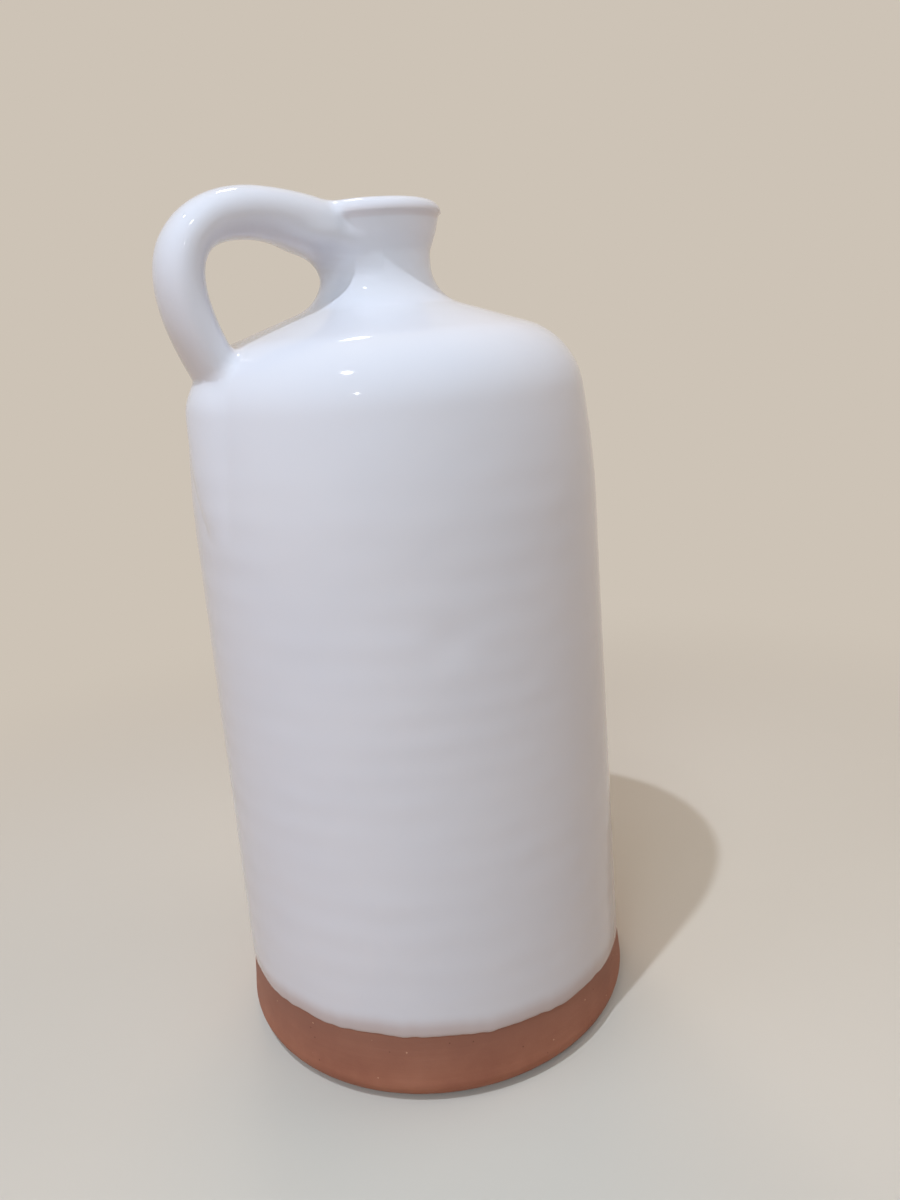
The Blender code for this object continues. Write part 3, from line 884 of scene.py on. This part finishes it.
class WheelTree:
    """Geometry Nodes that turn an outline on the wheel into a ringed clay surface."""

    NAME = "throw_on_the_wheel"
    DRIFT_SIZE = 30 * MM
    FLAT_RADIUS = 8 * MM
    WELD = 0.002 * MM
    SEED = 3.0

    def __init__(self) -> None:
        """Build the tree once."""
        self.tree = bpy.data.node_groups.new(self.NAME, "GeometryNodeTree")
        self.sockets: dict[str, str] = {}
        for label, kind in (("Outline", "Geometry"), ("Rows", "Int"), ("Columns", "Int"),
                            ("Ring pitch", "Float"), ("Ring depth", "Float"),
                            ("Seed", "Float"), ("Finish", "Material")):
            socket = self.tree.interface.new_socket(name=label, in_out="INPUT",
                                                    socket_type=f"NodeSocket{kind}")
            self.sockets[label] = socket.identifier
        self.tree.interface.new_socket(name="Clay", in_out="OUTPUT",
                                       socket_type="NodeSocketGeometry")
        self.wire()

    def wire(self) -> None:
        """Add the nodes: a grid of rows and columns, wrapped round the axis."""
        tree = self.tree
        given = add_node(tree, "NodeGroupInput").outputs
        rows, columns = given["Rows"], given["Columns"]
        grid = add_node(tree, "GeometryNodeMeshGrid",
                        {"Vertices X": work_out(tree, "ADD", columns, 1.0),
                         "Vertices Y": rows})
        index = add_node(tree, "GeometryNodeInputIndex").outputs[0]
        row = work_out(tree, "MODULO", index, rows)
        column = work_out(tree, "FLOOR", work_out(tree, "DIVIDE", index, rows))
        angle = work_out(tree, "MULTIPLY", work_out(tree, "DIVIDE", column, columns),
                         2 * math.pi)
        place = add_node(tree, "GeometryNodeInputPosition").outputs[0]
        sample = add_node(tree, "GeometryNodeSampleIndex",
                          {"data_type": "FLOAT_VECTOR", "Geometry": given["Outline"],
                           "Value": place, "Index": row}).outputs[0]
        outline = add_node(tree, "ShaderNodeSeparateXYZ", {0: sample}).outputs
        # Rings climb as one helix, and their depth drifts with the place
        climb = work_out(tree, "DIVIDE", outline["Z"], given["Ring pitch"])
        ridge = work_out(tree, "SINE",
                         work_out(tree, "MULTIPLY_ADD", climb, 2 * math.pi, angle))
        drift = add_node(tree, "ShaderNodeTexNoise",
                         {"noise_dimensions": "4D", "Scale": 1 / self.DRIFT_SIZE,
                          "Detail": 1.0, "Vector": sample, "W": given["Seed"]}).outputs[0]
        depth = work_out(tree, "MULTIPLY", drift, given["Ring depth"])
        push = work_out(tree, "MULTIPLY", depth, ridge)
        # Rings fade out toward the axis, where the poles stay flat
        fade = ranged(tree, outline["X"], 0.0, self.FLAT_RADIUS)
        radius = work_out(tree, "MULTIPLY_ADD", push, fade, outline["X"])
        across = {axis: work_out(tree, "MULTIPLY", work_out(tree, side, angle), radius)
                  for axis, side in (("X", "COSINE"), ("Y", "SINE"))}
        spot = add_node(tree, "ShaderNodeCombineXYZ", {**across, "Z": outline["Z"]})
        moved = add_node(tree, "GeometryNodeSetPosition",
                         {"Geometry": grid.outputs["Mesh"], "Position": spot.outputs[0]})
        closed = add_node(tree, "GeometryNodeMergeByDistance",
                          {"Distance": self.WELD, "Geometry": moved.outputs[0]})
        real = add_node(tree, "GeometryNodeRealizeInstances", {0: closed.outputs[0]})
        dressed = add_node(tree, "GeometryNodeSetMaterial",
                           {"Geometry": real.outputs[0], "Material": given["Finish"]})
        add_node(tree, "NodeGroupOutput", {0: dressed.outputs[0]})

    def throw(self, name: str, outline: Array, columns: int, ring_pitch: float,
              ring_depth: float, finish: Material) -> Item:
        """Turn an outline into a closed piece.

        Args:
            name: The piece's name.
            outline: (radius, height) points that start and end on the axis.
            columns: How many points go round.
            ring_pitch: Height between two throwing rings.
            ring_depth: How far the rings stand in and out.
            finish: The piece's material.

        Returns:
            The piece as a plain mesh object.
        """
        count = len(outline)
        line = np.column_stack((outline[:, 0], np.zeros(count), outline[:, 1]))
        made = new_object(name, line, [(i, i + 1) for i in range(count - 1)])
        modifier = made.modifiers.new(self.NAME, "NODES")
        modifier.node_group = self.tree
        values = {"Rows": count, "Columns": columns, "Ring pitch": ring_pitch,
                  "Ring depth": ring_depth, "Seed": self.SEED, "Finish": finish}
        for label, value in values.items():
            modifier[self.sockets[label]] = value
        finish_faces(applied(made).data)
        return made


# Sub-assemblies

@dataclass
class ThrownVessel:
    """The thrown clay, bare at the foot and glazed above it, and its poured lining."""

    form: ThrownForm
    wheel: WheelTree
    columns: int = 192
    clay_ring_depth: float = 0.00005
    lining_ring_depth: float = 0.0006
    ring_pitch: float = 0.009
    gap: float = 0.0003
    glaze: float = 0.0005
    # (height, spacing) pairs of the rows
    outer_rows: Steps = ((0.030, 0.0012), (0.23, 0.004), (1, 0.002))
    inner_rows: Steps = ((0.23, 0.004), (1, 0.002))
    lining_rows: Steps = ((0.23, 0.003), (1, 0.0015))

    def body(self, clay: Material) -> Item:
        """Make the clay vessel, open at the mouth.

        Args:
            clay: The bare clay.

        Returns:
            The piece, in place of the solid thrown_body.
        """
        outside = respaced(self.form.outside(), self.outer_rows)
        outside[:, 0] = np.maximum(outside[:, 0] - self.clay_ring_depth, 0)
        inside = respaced(self.form.inside(), self.inner_rows)
        made = self.wheel.throw("thrown_clay", np.vstack((outside, inside)), self.columns,
                                self.ring_pitch, self.clay_ring_depth, clay)
        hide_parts("thrown_body")
        return made

    def lining(self, glaze: Material) -> Item:
        """Make the thin glaze lining, which shows through the mouth.

        Args:
            glaze: The white glaze.

        Returns:
            The piece, in place of the solid inner_glaze.
        """
        inside = respaced(self.form.inside(), self.lining_rows)
        facing_clay, facing_in = grown(inside, self.gap), grown(inside, self.gap + self.glaze)
        for line in (facing_clay, facing_in):
            line[0, 1] -= self.gap
            line[-1, 0] = 0
        made = self.wheel.throw("poured_lining", np.vstack((facing_clay[::-1], facing_in)),
                                self.columns, self.ring_pitch, self.lining_ring_depth, glaze)
        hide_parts("inner_glaze")
        return made


@dataclass
class GlazeEdge:
    """The lower edge of the dipped coat: tilted, wavy and thinned where it ran out."""

    height: float = 0.0205
    tilt: float = 0.0040
    high_side: float = math.radians(196)
    # Height, count round the foot and phase of each wave in the edge
    waves: tuple[tuple[float, int, float], ...] = (
        (0.0002, 5, 0.0), (0.00026, 16, 2.97), (0.000091, 11, 1.3), (0.00007, 31, 0.4),
        (0.00007, 43, 2.9), (0.00007, 61, 5.1), (0.00007, 79, 1.7))

    def line(self, angle: Array) -> Array:
        """Height of the coat's lower edge at angles round the foot."""
        wavy = sum(high * np.sin(count * angle + start) for high, count, start in self.waves)
        return self.height + self.tilt * np.cos(angle - self.high_side) + wavy


@dataclass
class Relief:
    """Throwing rings, dents and soft unevenness of the glazed face."""

    form: ThrownForm
    ring_pitch: float = 0.0105
    ring_depth: float = 0.00004
    ring_drift: tuple[float, float, int] = (0.45, 0.05, 5)
    ring_top: float = 0.215
    ring_fade: float = 0.030
    # Depth, size and seed of each part of the soft unevenness
    uneven: tuple[tuple[float, float, int], ...] = ((0.00012, 0.060, 11), (0.00003, 0.016, 21))
    # A thumb-sized flat, low on the right of the wall, a little wider than it is high
    dent_place: tuple[float, float, float] = (-0.0218, -0.0621, 0.1513)
    dent_squeeze: tuple[float, float, float] = (1, 1, 1.3)
    dent_depth: float = 0.00030
    dent_size: float = 0.0065
    # Clay smeared down off the strap's root, on both of its sides
    smear_place: tuple[float, float, float] = (-0.0258, 0.0130, 0.2608)
    smear_size: tuple[float, float, float] = (0.0070, 0.0060, 0.0034)
    smear_rise: float = 0.0016
    # The lip stands a little proud of the neck, over a crisp edge
    lip_step: float = 0.00055
    lip_crisp: float = 0.0006
    lip_fade: float = 0.007
    # Painted shade: a darker line under the lip, where the lip's shadow falls, carried as thin
    # glaze
    lip_shade_drop: float = 0.0010
    lip_shade_width: float = 0.0006
    # Both stay on the neck's outside and clear of the strap's root
    outside_clear: tuple[float, float] = (0.015, 0.002)
    strap_clear: tuple[float, float] = (-0.0178, 0.003)
    # The coat lies thinner over the strap, which keeps it within the solid's reach
    top_loss: float = 0.00010
    top_start: float = 0.262
    top_fade: float = 0.006
    foot_clear: float = 0.030
    foot_fade: float = 0.012

    def level(self, points: Array) -> Array:
        """Return how far the face stands out at each of its points."""
        height = points[:, 2]
        angle = np.arctan2(points[:, 1], points[:, 0])
        drift, size, seed = self.ring_drift
        depth = self.ring_depth * (1 - drift + drift * waves(points, size, seed))
        rings = depth * np.sin(2 * math.pi * height / self.ring_pitch + angle
                               + 1.2 * np.sin(height / 0.019))
        above_foot = smooth(height, self.foot_clear, self.foot_fade)
        rings *= above_foot * smooth(height, self.ring_top, -self.ring_fade)
        uneven = sum(depth * waves(points, size, seed) for depth, size, seed in self.uneven)
        off = (points - self.dent_place) * self.dent_squeeze
        dent = self.dent_depth * np.exp(-(off ** 2).sum(axis=1) / self.dent_size ** 2)
        beside = np.column_stack((points[:, 0], np.abs(points[:, 1]), height))
        off = (beside - self.smear_place) / self.smear_size
        smear = self.smear_rise * np.exp(-(off ** 2).sum(axis=1))
        drop = self.form.lip_edge[1] - height
        step = (self.lip_step * smooth(drop, 0, self.lip_crisp)
                * smooth(drop, self.lip_fade, -self.lip_fade))
        top = self.top_loss * smooth(height, self.top_start, self.top_fade)
        return (rings + uneven * above_foot - dent + smear - top
                - step * self.clear_of_strap(points))

    def painted_lip_shade(self, points: Array) -> Array:
        """Return 1 at points in the painted shade line under the lip."""
        drop = self.form.lip_edge[1] - points[:, 2]
        line = np.exp(-((drop - self.lip_shade_drop) / self.lip_shade_width) ** 2)
        return line * self.clear_of_strap(points)

    def clear_of_strap(self, points: Array) -> Array:
        """Return 1 at points on the neck's outside that the strap's root leaves clear."""
        outside = smooth(from_axis(points), *self.outside_clear)
        return outside * smooth(points[:, 0], *self.strap_clear)


@dataclass
class GlazeCoat:
    """The white coat over the vessel and its handle, as one closed skin.

    The vessel's skin and the strap's are joined, and then drawn onto one smooth surface
    that fills the creases between them as thumbed clay under glaze does.
    """

    form: ThrownForm
    strap: StrapForm
    edge: GlazeEdge
    relief: Relief
    face: float = 0.0008
    back: float = 0.0001
    # The crease's fill at the strap's foot, at its root, on the lip and in the mouth, and
    # the height at which each change starts with how far up or out it runs
    foot_fill: float = 0.0034
    root_fill: float = 0.0058
    lip_fill: float = 0.0016
    mouth_fill: float = 0.0006
    root_change: tuple[float, float] = (0.235, 0.015)
    lip_change: tuple[float, float] = (0.2555, 0.008)
    mouth_change: tuple[float, float] = (0.255, 0.004)
    # The strap lies behind this place, above this height and within this half width
    strap_zone: tuple[float, float, float] = (-0.006, 0.172, 0.03)
    strap_sides: int = 56
    chord: float = 0.0016
    close_half_angle: float = math.radians(28)
    close_step: float = math.radians(0.85)
    open_step: float = math.radians(1.2)
    # The rows' (height, spacing) pairs, and how far above the edge they start
    row_steps: Steps = ((0.165, 0.0022), (0.240, 0.0011), (0.263, 0.0007), (1, 0.0004))
    rows_start: float = 0.009
    # How far below the first row the run-out ends
    run_out_gap: float = 0.0016
    # The skin's own spacing where points are placed against it, and its evened normals
    field_step: float = 0.0012
    field_passes: int = 3
    # Points this far above the edge's highest place lie on the drawn face
    face_clear: float = 0.006
    pulls: int = 4
    least_slope: float = 0.35
    # The bend, in radians a metre, from which the glaze runs thin, and over how much more
    thin_bend: tuple[float, float] = (60, 260)
    most_bend: float = 600
    even_passes: int = 10
    # Rise above the edge and thickness there, in mm: the coat ran out over the clay
    run_out: tuple[tuple[float, float], ...] = (
        (0.0, 0.02), (0.04, 0.09), (0.12, 0.16), (0.25, 0.23), (0.45, 0.30), (0.8, 0.38),
        (1.2, 0.44), (1.7, 0.50), (2.3, 0.56), (3.0, 0.62), (4.0, 0.69), (5.2, 0.76))

    def angles(self) -> Array:
        """Angles of the columns, closer together about the handle."""
        near = self.close_half_angle
        close = np.arange(-near, near, self.close_step)
        count = round((math.pi - near) * 2 / self.open_step)
        open_side = np.linspace(near, 2 * math.pi - near, count + 1)[:-1]
        return math.pi + np.concatenate((close, open_side))

    def outline(self) -> Array:
        """Line of the clay's outside above the foot, spaced for the coat's rows."""
        line = self.form.outside(self.chord)
        start = int(np.argmax(line[:, 1] > self.edge.height + self.rows_start))
        return respaced(line[start:], self.row_steps)

    def vessel_skin(self) -> Item:
        """Make the thin skin over the vessel alone, closed round both of its edges."""
        angles = self.angles()
        above = self.outline()
        run_out = np.array(self.run_out) * MM
        edge = self.edge.line(angles)
        # The last ring of the run-out is level, a little below the first row
        highest = run_out[-1, 0]
        room = above[0, 1] - self.run_out_gap - highest - edge
        rings = []
        for up, out in run_out:
            height = edge + up + up / highest * room
            rings.append((self.form.radius_at(height) + out, height))
        lines = np.vstack((grown(above, self.face), grown(above, self.back)[::-4]))
        rings += [(np.full(len(angles), radius), np.full(len(angles), height))
                  for radius, height in lines]
        rings.append((self.form.radius_at(edge) - 0.05 * MM, edge + 0.1 * MM))
        points = np.concatenate([np.column_stack((r * np.cos(angles), r * np.sin(angles), z))
                                 for r, z in rings])
        return new_object("glaze_coat", points,
                          faces=grid_faces(len(rings), len(angles), True))

    def strap_skin(self) -> Item:
        """Loft the strap and its tail as a closed tube."""
        growth, sides = self.face, self.strap_sides
        stations = self.strap.stations()
        along = unit(np.gradient(stations[:, :2], axis=0))
        middle = stations[:, :2].copy()
        middle[-1] += along[-1] * growth
        outward = np.column_stack((-along[:, 1], along[:, 0]))
        angle = 2 * math.pi * np.arange(sides) / sides
        power = 2 / self.strap.squareness
        across, through = (np.sign(part) * np.abs(part) ** power
                           for part in (np.cos(angle), np.sin(angle)))
        plane = (middle[:, None] + outward[:, None]
                 * ((stations[:, 3] + growth)[:, None] * through)[..., None])
        side = (stations[:, 2] + growth)[:, None] * across - stations[:, 4][:, None]
        rings = np.stack((-plane[..., 0], side, plane[..., 1]), axis=-1)
        # The first rings run back along the root to its end, which is bent round the bore
        climb = (stations[1, 1] - stations[0, 1]) / (stations[1, 0] - stations[0, 0])
        clear = from_axis(rings) > self.strap.root_end(rings[..., 2])
        start = int(np.argmax(clear.all(axis=1)))
        first = rings[start]
        end = first.copy()
        for _ in range(6):
            reach = self.strap.root_end(end[:, 2]) - growth
            gone = end[:, 0] + np.sqrt(np.maximum(reach ** 2 - end[:, 1] ** 2, MM * MM))
            end[:, 0] -= gone
            end[:, 2] += gone * climb
        blends = np.linspace(0, 1, 8)[:-1, None, None]
        rings = np.concatenate((end + (first - end) * blends, rings[start:]))
        faces = grid_faces(len(rings), sides, False)
        half = sides // 2
        for ring in (0, (len(rings) - 1) * sides):
            faces += [[ring + side, ring + side + 1, ring + sides - side - 1,
                       ring + sides - side] for side in range(1, half - 1)]
            faces += [[ring, ring + 1, ring + sides - 1],
                      [ring + half - 1, ring + half, ring + half + 1]]
        return new_object("strap_skin", rings.reshape(-1, 3), faces=faces)

    def joined(self) -> Item:
        """Join the vessel's skin and the strap's, one closed skin over both."""
        skin, tube = self.vessel_skin(), self.strap_skin()
        for item in (skin, tube):
            finish_faces(item.data)
        join = skin.modifiers.new("join strap", "BOOLEAN")
        join.operation, join.solver, join.object = "UNION", "EXACT", tube
        applied(skin)
        bpy.data.objects.remove(tube)
        return skin

    def fill_at(self, points: Array) -> Array:
        """Size of the crease's fill at places: wide under the root, small on the lip."""
        height = points[:, 2]
        fill = self.foot_fill
        for change, after in ((self.root_change, self.root_fill),
                              (self.lip_change, self.lip_fill)):
            fill = fill + (after - fill) * smooth(height, *change)
        start, width = self.mouth_change
        mouth = smooth(from_axis(points), self.form.bore_radius, width)
        return np.where(height > start, self.mouth_fill + (fill - self.mouth_fill) * mouth,
                        fill)

    def drawn(self, points: Array) -> tuple[Array, Array, Array]:
        """Draw the face's points onto the smooth surface.

        Args:
            points: The joined skin's points.

        Returns:
            The moved points, the surface's direction there, and which points are on it.
        """
        outside = grown(respaced(self.form.outside(self.chord), ((1, self.field_step),)),
                        self.face)
        outside = outside[int(np.argmax(outside[:, 0])):]
        moved = points.copy()
        arrows = np.zeros_like(points)
        on_face = np.zeros(len(points), bool)
        lowest = self.edge.height + self.edge.tilt + self.face_clear
        ahead, low, side = self.strap_zone
        live = np.arange(len(points))
        for turn in range(self.pulls):
            here = moved[live]
            radius = from_axis(here)
            vessel, normal, _ = nearest_on(outside, np.column_stack((radius, here[:, 2])),
                                           self.field_passes)
            turned = here[:, :2] / np.maximum(radius, TINY)[:, None]
            out = np.column_stack((normal[:, :1] * turned, normal[:, 1]))
            strap, strap_out = np.full(len(here), 1.0), out.copy()
            near = (here[:, 0] < ahead) & (here[:, 2] > low) & (np.abs(here[:, 1]) < side)
            strap[near], strap_out[near] = self.strap.distance(here[near], self.face)
            if turn == 0:
                between = (self.back - self.face) / 2
                on_face = (vessel > between) & (strap > 3 * between) & (here[:, 2] > lowest)
            fill = self.fill_at(here)
            mix = np.clip(0.5 + 0.5 * (strap - vessel) / fill, 0, 1)
            field = strap + (vessel - strap) * mix - fill * mix * (1 - mix)
            slope = strap_out + (out - strap_out) * mix[:, None]
            length = np.linalg.norm(slope, axis=1)
            arrows[live] = slope / np.maximum(length, TINY)[:, None]
            pull = on_face[live] & (np.abs(strap - vessel) < fill)
            step = field / np.maximum(length, self.least_slope)
            moved[live[pull]] -= arrows[live[pull]] * step[pull, None]
            # Points away from the crease are on the surface already
            live = live[pull | (np.abs(strap - vessel) < 2 * fill)]
        return moved, arrows, on_face

    def thinness_and_lip_shade(self, mesh: Mesh, points: Array, arrows: Array) -> Array:
        """Return how far the glaze has run off each point, from the bend of the face, with the
        painted shade line under the lip laid over it.

        Args:
            mesh: The coat's mesh.
            points: Its points.
            arrows: The face's direction at each.

        Returns:
            A share from 0 to 1.
        """
        first, second = values_of(mesh.edges, "vertices", np.int64, 2).T
        total = len(points)
        near = np.maximum(np.bincount(first, minlength=total)
                          + np.bincount(second, minlength=total), 1)
        off = points[second] - points[first]
        span = np.maximum((off ** 2).sum(axis=1), 1e-10)
        bend = 2 * (np.bincount(first, -(off * arrows[first]).sum(axis=1) / span, total)
                    + np.bincount(second, (off * arrows[second]).sum(axis=1) / span, total))
        bend = np.clip(bend / near, -self.most_bend, self.most_bend)
        for _ in range(self.even_passes):
            beside = (np.bincount(first, bend[second], total)
                      + np.bincount(second, bend[first], total))
            bend = 0.4 * bend + 0.6 * beside / near
        # The painted shade line under the lip is laid over the thinness
        return np.maximum(smooth(bend, *self.thin_bend), self.relief.painted_lip_shade(points))

    def build(self, glaze: Material) -> Item:
        """Make the coat.

        Args:
            glaze: The white glaze.

        Returns:
            The piece, in place of the solid outer_glaze.
        """
        made = self.joined()
        mesh = made.data
        points, arrows, on_face = self.drawn(values_of(mesh.vertices, "co", float, 3))
        level = self.relief.level(points)
        step = 0.2 * MM
        slope = np.column_stack([(self.relief.level(points + off) - level) / step
                                 for off in np.eye(3) * step])
        slope -= arrows * (slope * arrows).sum(axis=1)[:, None]
        bent = unit(arrows - slope)
        points[on_face] += arrows[on_face] * level[on_face, None]
        mesh.vertices.foreach_set("co", points.ravel())
        mesh.update()
        normals = values_of(mesh.vertices, "normal", float, 3)
        normals[on_face] = bent[on_face]
        mesh.shade_smooth()
        mesh.normals_split_custom_set_from_vertices(normals.tolist())
        above = points[:, 2] - self.edge.line(np.arctan2(points[:, 1], points[:, 0]))
        # glaze_thin_and_lip_shade holds the thinness and the painted shade line under the lip
        for name, values in (("glaze_thin_and_lip_shade", self.thinness_and_lip_shade(mesh, points, normals)),
                             ("above_edge", above)):
            mesh.attributes.new(name, "FLOAT", "POINT").data.foreach_set("value", values)
        mesh.materials.clear()
        mesh.materials.append(glaze)
        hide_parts("outer_glaze")
        return made


# Studio

class LampKind(Enum):
    """What a lamp does in the studio."""

    KEY = "key"
    FILL = "fill"
    SPARK = "spark"


@dataclass(frozen=True)
class Lamp:
    """A lamp placed by its bearing from the bottle, as seen by the camera.

    The bearing counts from the camera's own, to the right, in degrees.
    """

    kind: LampKind
    bearing: float
    climb: float
    distance: float
    size: float
    power: float
    colour: str = "#FFFFFF"

    def place(self, camera_bearing: float, target: Vector) -> None:
        """Hang the lamp so that it faces the bottle.

        Args:
            camera_bearing: The camera's own bearing in degrees.
            target: What the lamp faces.
        """
        data = bpy.data.lights.new(f"{self.kind.value}_lamp", "AREA")
        data.shape, data.size, data.energy = "DISK", self.size, self.power
        data.color = linear(self.colour)[:3]
        lamp = linked(bpy.data.objects.new(data.name, data))
        bearing, climb = math.radians(self.bearing + camera_bearing), math.radians(self.climb)
        arrow = Vector((math.sin(bearing) * math.cos(climb),
                        -math.cos(bearing) * math.cos(climb), math.sin(climb)))
        lamp.location = target + arrow * self.distance
        lamp.rotation_euler = (-arrow).to_track_quat("-Z", "Y").to_euler()
        # Keys and fills come through a shade, so only the sparks show as discs in the gloss
        lamp.visible_glossy = self.kind is LampKind.SPARK


def looking_rays(tree: Tree) -> Socket:
    """Return 1 for rays that look at the background: straight, mirrored or through glass."""
    rays = add_node(tree, "ShaderNodeLightPath").outputs
    mirrored = work_out(tree, "MAXIMUM", rays["Is Glossy Ray"], rays["Is Transmission Ray"])
    return work_out(tree, "MAXIMUM", rays["Is Camera Ray"], mirrored)


@dataclass(frozen=True)
class PaleFloor(Finish):
    """Matt paper that melts into the backdrop away from the bottle.

    It looks pale, and gives the bottle the warm dim light of a wooden table.
    """

    name: str = "pale_paper_floor"
    roughness: float = 0.9
    specular: float = 0.2
    colour: str = "#D1CEC4"
    bounce: str = "#AD8660"
    backdrop: str = "#CDC3B6"
    melt: tuple[float, float] = (0.17, 0.48)
    fibre_size: float = 1.5 * MM
    fibre_depth: float = 0.009 * MM

    def surface(self, tree: Tree, place: Socket) -> tuple[Socket, Socket, float]:
        """Add the paper's nodes."""
        paper = blend(tree, looking_rays(tree), self.bounce, self.colour)
        return paper, noise(tree, place, self.fibre_size, 3.0), self.fibre_depth

    def build(self) -> Material:
        """Make the paper, and melt it for the rays that look at it."""
        made = super().build()
        tree = made.node_tree
        shader, output = (tree.nodes[name] for name in ("Principled BSDF", "Material Output"))
        place = add_node(tree, "ShaderNodeTexCoord").outputs["Object"]
        reach = add_node(tree, "ShaderNodeVectorMath", {"operation": "LENGTH", 0: place})
        far = ranged(tree, reach.outputs["Value"], *self.melt, kind="SMOOTHSTEP")
        back = add_node(tree, "ShaderNodeEmission",
                        {"Color": linear(self.backdrop), "Strength": 1.0})
        mixed = add_node(tree, "ShaderNodeMixShader",
                         {0: work_out(tree, "MULTIPLY", far, looking_rays(tree)),
                          1: shader.outputs[0], 2: back.outputs[0]})
        tree.links.new(mixed.outputs[0], output.inputs["Surface"])
        return made


@dataclass
class Studio:
    """Camera, lamps, floor and background."""

    camera_bearing: float = -29.0
    camera_range: float = 0.3090
    camera_height: float = 0.23255
    pitch: float = math.radians(15.943)
    roll: float = math.radians(-4.4997)
    yaw: float = math.radians(2.785)
    focal_pixels: float = 935.18
    frame_height: float = 1200.0
    sensor: float = 36.0
    floor: PaleFloor = PaleFloor()
    floor_reach: float = 1.4
    floor_sides: int = 96
    room: str = "#717573"
    # Bearing and colour of the light that the room's sides add
    walls: tuple[tuple[float, str], ...] = ((-80, "#3C3933"), (180, "#33261A"))
    lamp_target: tuple[float, float, float] = (0, 0, 0.13)
    lamps: tuple[Lamp, ...] = (
        Lamp(LampKind.KEY, -37, 67.5, 1.3, 0.03, 7.0, "#E9F1FF"),
        Lamp(LampKind.FILL, -10, 30, 1.3, 0.9, 6.9, "#E7F2FF"),
        Lamp(LampKind.FILL, -75, 35, 1.3, 0.9, 2.6, "#F2ECFF"),
        Lamp(LampKind.FILL, 95, 40, 0.42, 0.3, 0.42, "#FFEDE4"),
        Lamp(LampKind.FILL, 180, 45, 1.3, 0.9, 4.0, "#FFC48A"),
        Lamp(LampKind.SPARK, -34, 62, 1.2, 0.10, 0.40),
        Lamp(LampKind.SPARK, -18, 36, 1.2, 0.05, 0.16),
        Lamp(LampKind.SPARK, 191, 57, 1.2, 0.16, 0.60),
        Lamp(LampKind.SPARK, -113, 56, 1.2, 0.05, 0.12),
    )

    def camera(self) -> None:
        """Set up the camera with the photograph's place, tilt and view angle."""
        cos, sin = math.cos, math.sin
        ahead = Vector((sin(self.yaw) * cos(self.pitch), cos(self.yaw) * cos(self.pitch),
                        -sin(self.pitch)))
        level = Vector((cos(self.yaw), -sin(self.yaw), 0))
        upward = level.cross(ahead)
        right = cos(self.roll) * level + sin(self.roll) * upward
        up = -sin(self.roll) * level + cos(self.roll) * upward
        turn = Matrix.Rotation(math.radians(self.camera_bearing), 3, "Z")
        place = Matrix((turn @ right, turn @ up, -(turn @ ahead))).transposed().to_4x4()
        place.translation = turn @ Vector((0, -self.camera_range, self.camera_height))
        data = bpy.data.cameras.new("camera")
        data.sensor_fit = "VERTICAL"
        data.sensor_width = data.sensor_height = self.sensor
        data.lens = self.sensor * self.focal_pixels / self.frame_height
        data.clip_start = 0.01
        camera = linked(bpy.data.objects.new("camera", data))
        camera.matrix_world = place
        bpy.context.scene.camera = camera

    def world(self) -> None:
        """Light the room from its walls, and show the backdrop's colour behind it."""
        world = bpy.data.worlds.new("studio_room")
        bpy.context.scene.world = world
        world.use_nodes = True
        tree = world.node_tree
        tree.nodes.clear()
        view = add_node(tree, "ShaderNodeTexCoord").outputs["Generated"]
        total = self.room
        for side, colour in self.walls:
            bearing = math.radians(self.camera_bearing + side)
            toward = add_node(tree, "ShaderNodeVectorMath",
                              {"operation": "DOT_PRODUCT", 0: view,
                               1: (math.sin(bearing), -math.cos(bearing), 0.0)})
            share = ranged(tree, toward.outputs["Value"], 0.0, 1.0, kind="SMOOTHSTEP")
            total = blend(tree, share, total, colour, "ADD")
        room, back = (add_node(tree, "ShaderNodeBackground", {"Strength": 1.0, "Color": colour})
                      for colour in (total, linear(self.floor.backdrop)))
        mixed = add_node(tree, "ShaderNodeMixShader",
                         {0: looking_rays(tree), 1: room.outputs[0], 2: back.outputs[0]})
        add_node(tree, "ShaderNodeOutputWorld", {0: mixed.outputs[0]})

    def ground(self) -> None:
        """Lay the round floor."""
        angle = np.linspace(0, 2 * math.pi, self.floor_sides + 1)[:-1]
        points = np.column_stack((self.floor_reach * np.cos(angle),
                                  self.floor_reach * np.sin(angle), np.zeros(len(angle))))
        floor = new_object("floor", points, faces=[list(range(len(points)))])
        floor.data.materials.append(self.floor.build())

    def build(self) -> None:
        """Set the whole studio up."""
        bpy.context.scene.view_settings.view_transform = "Standard"
        self.camera()
        self.world()
        self.ground()
        for lamp in self.lamps:
            lamp.place(self.camera_bearing, Vector(self.lamp_target))


def dress_node(frame: dict, name: str, finish: Material) -> None:
    """Give a kept solid its finish.

    Args:
        frame: The loaded frame.
        name: The solid's name.
        finish: Its material.
    """
    node = frame["nodes"][name]
    for slot in node.material_slots:
        slot.material = finish
    if not node.material_slots:
        node.data.materials.append(finish)
    LOG.info("%s keeps its solid, with %s", name, finish.name)


def main() -> None:
    """Load the frame, build the bottle and the studio, and report each piece."""
    logging.basicConfig(level=logging.INFO, format="%(name)s: %(message)s")
    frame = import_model()
    glaze, clay, slip = TinGlaze().build(), RedEarthenware().build(), JoiningSlip().build()
    form = ThrownForm()
    vessel = ThrownVessel(form, WheelTree())
    coat = GlazeCoat(form, StrapForm(form), GlazeEdge(), Relief(form))
    pieces = [vessel.body(clay), vessel.lining(glaze), coat.build(glaze)]
    for piece in pieces:
        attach(piece, "root")
        LOG.info("%s has %d faces", piece.name, len(piece.data.polygons))
    for name, finish in (("strap_handle", clay), ("upper_joint_slip", slip),
                         ("lower_joint_slip", slip)):
        dress_node(frame, name, finish)
    Studio().build()


if __name__ == "__main__":
    main()
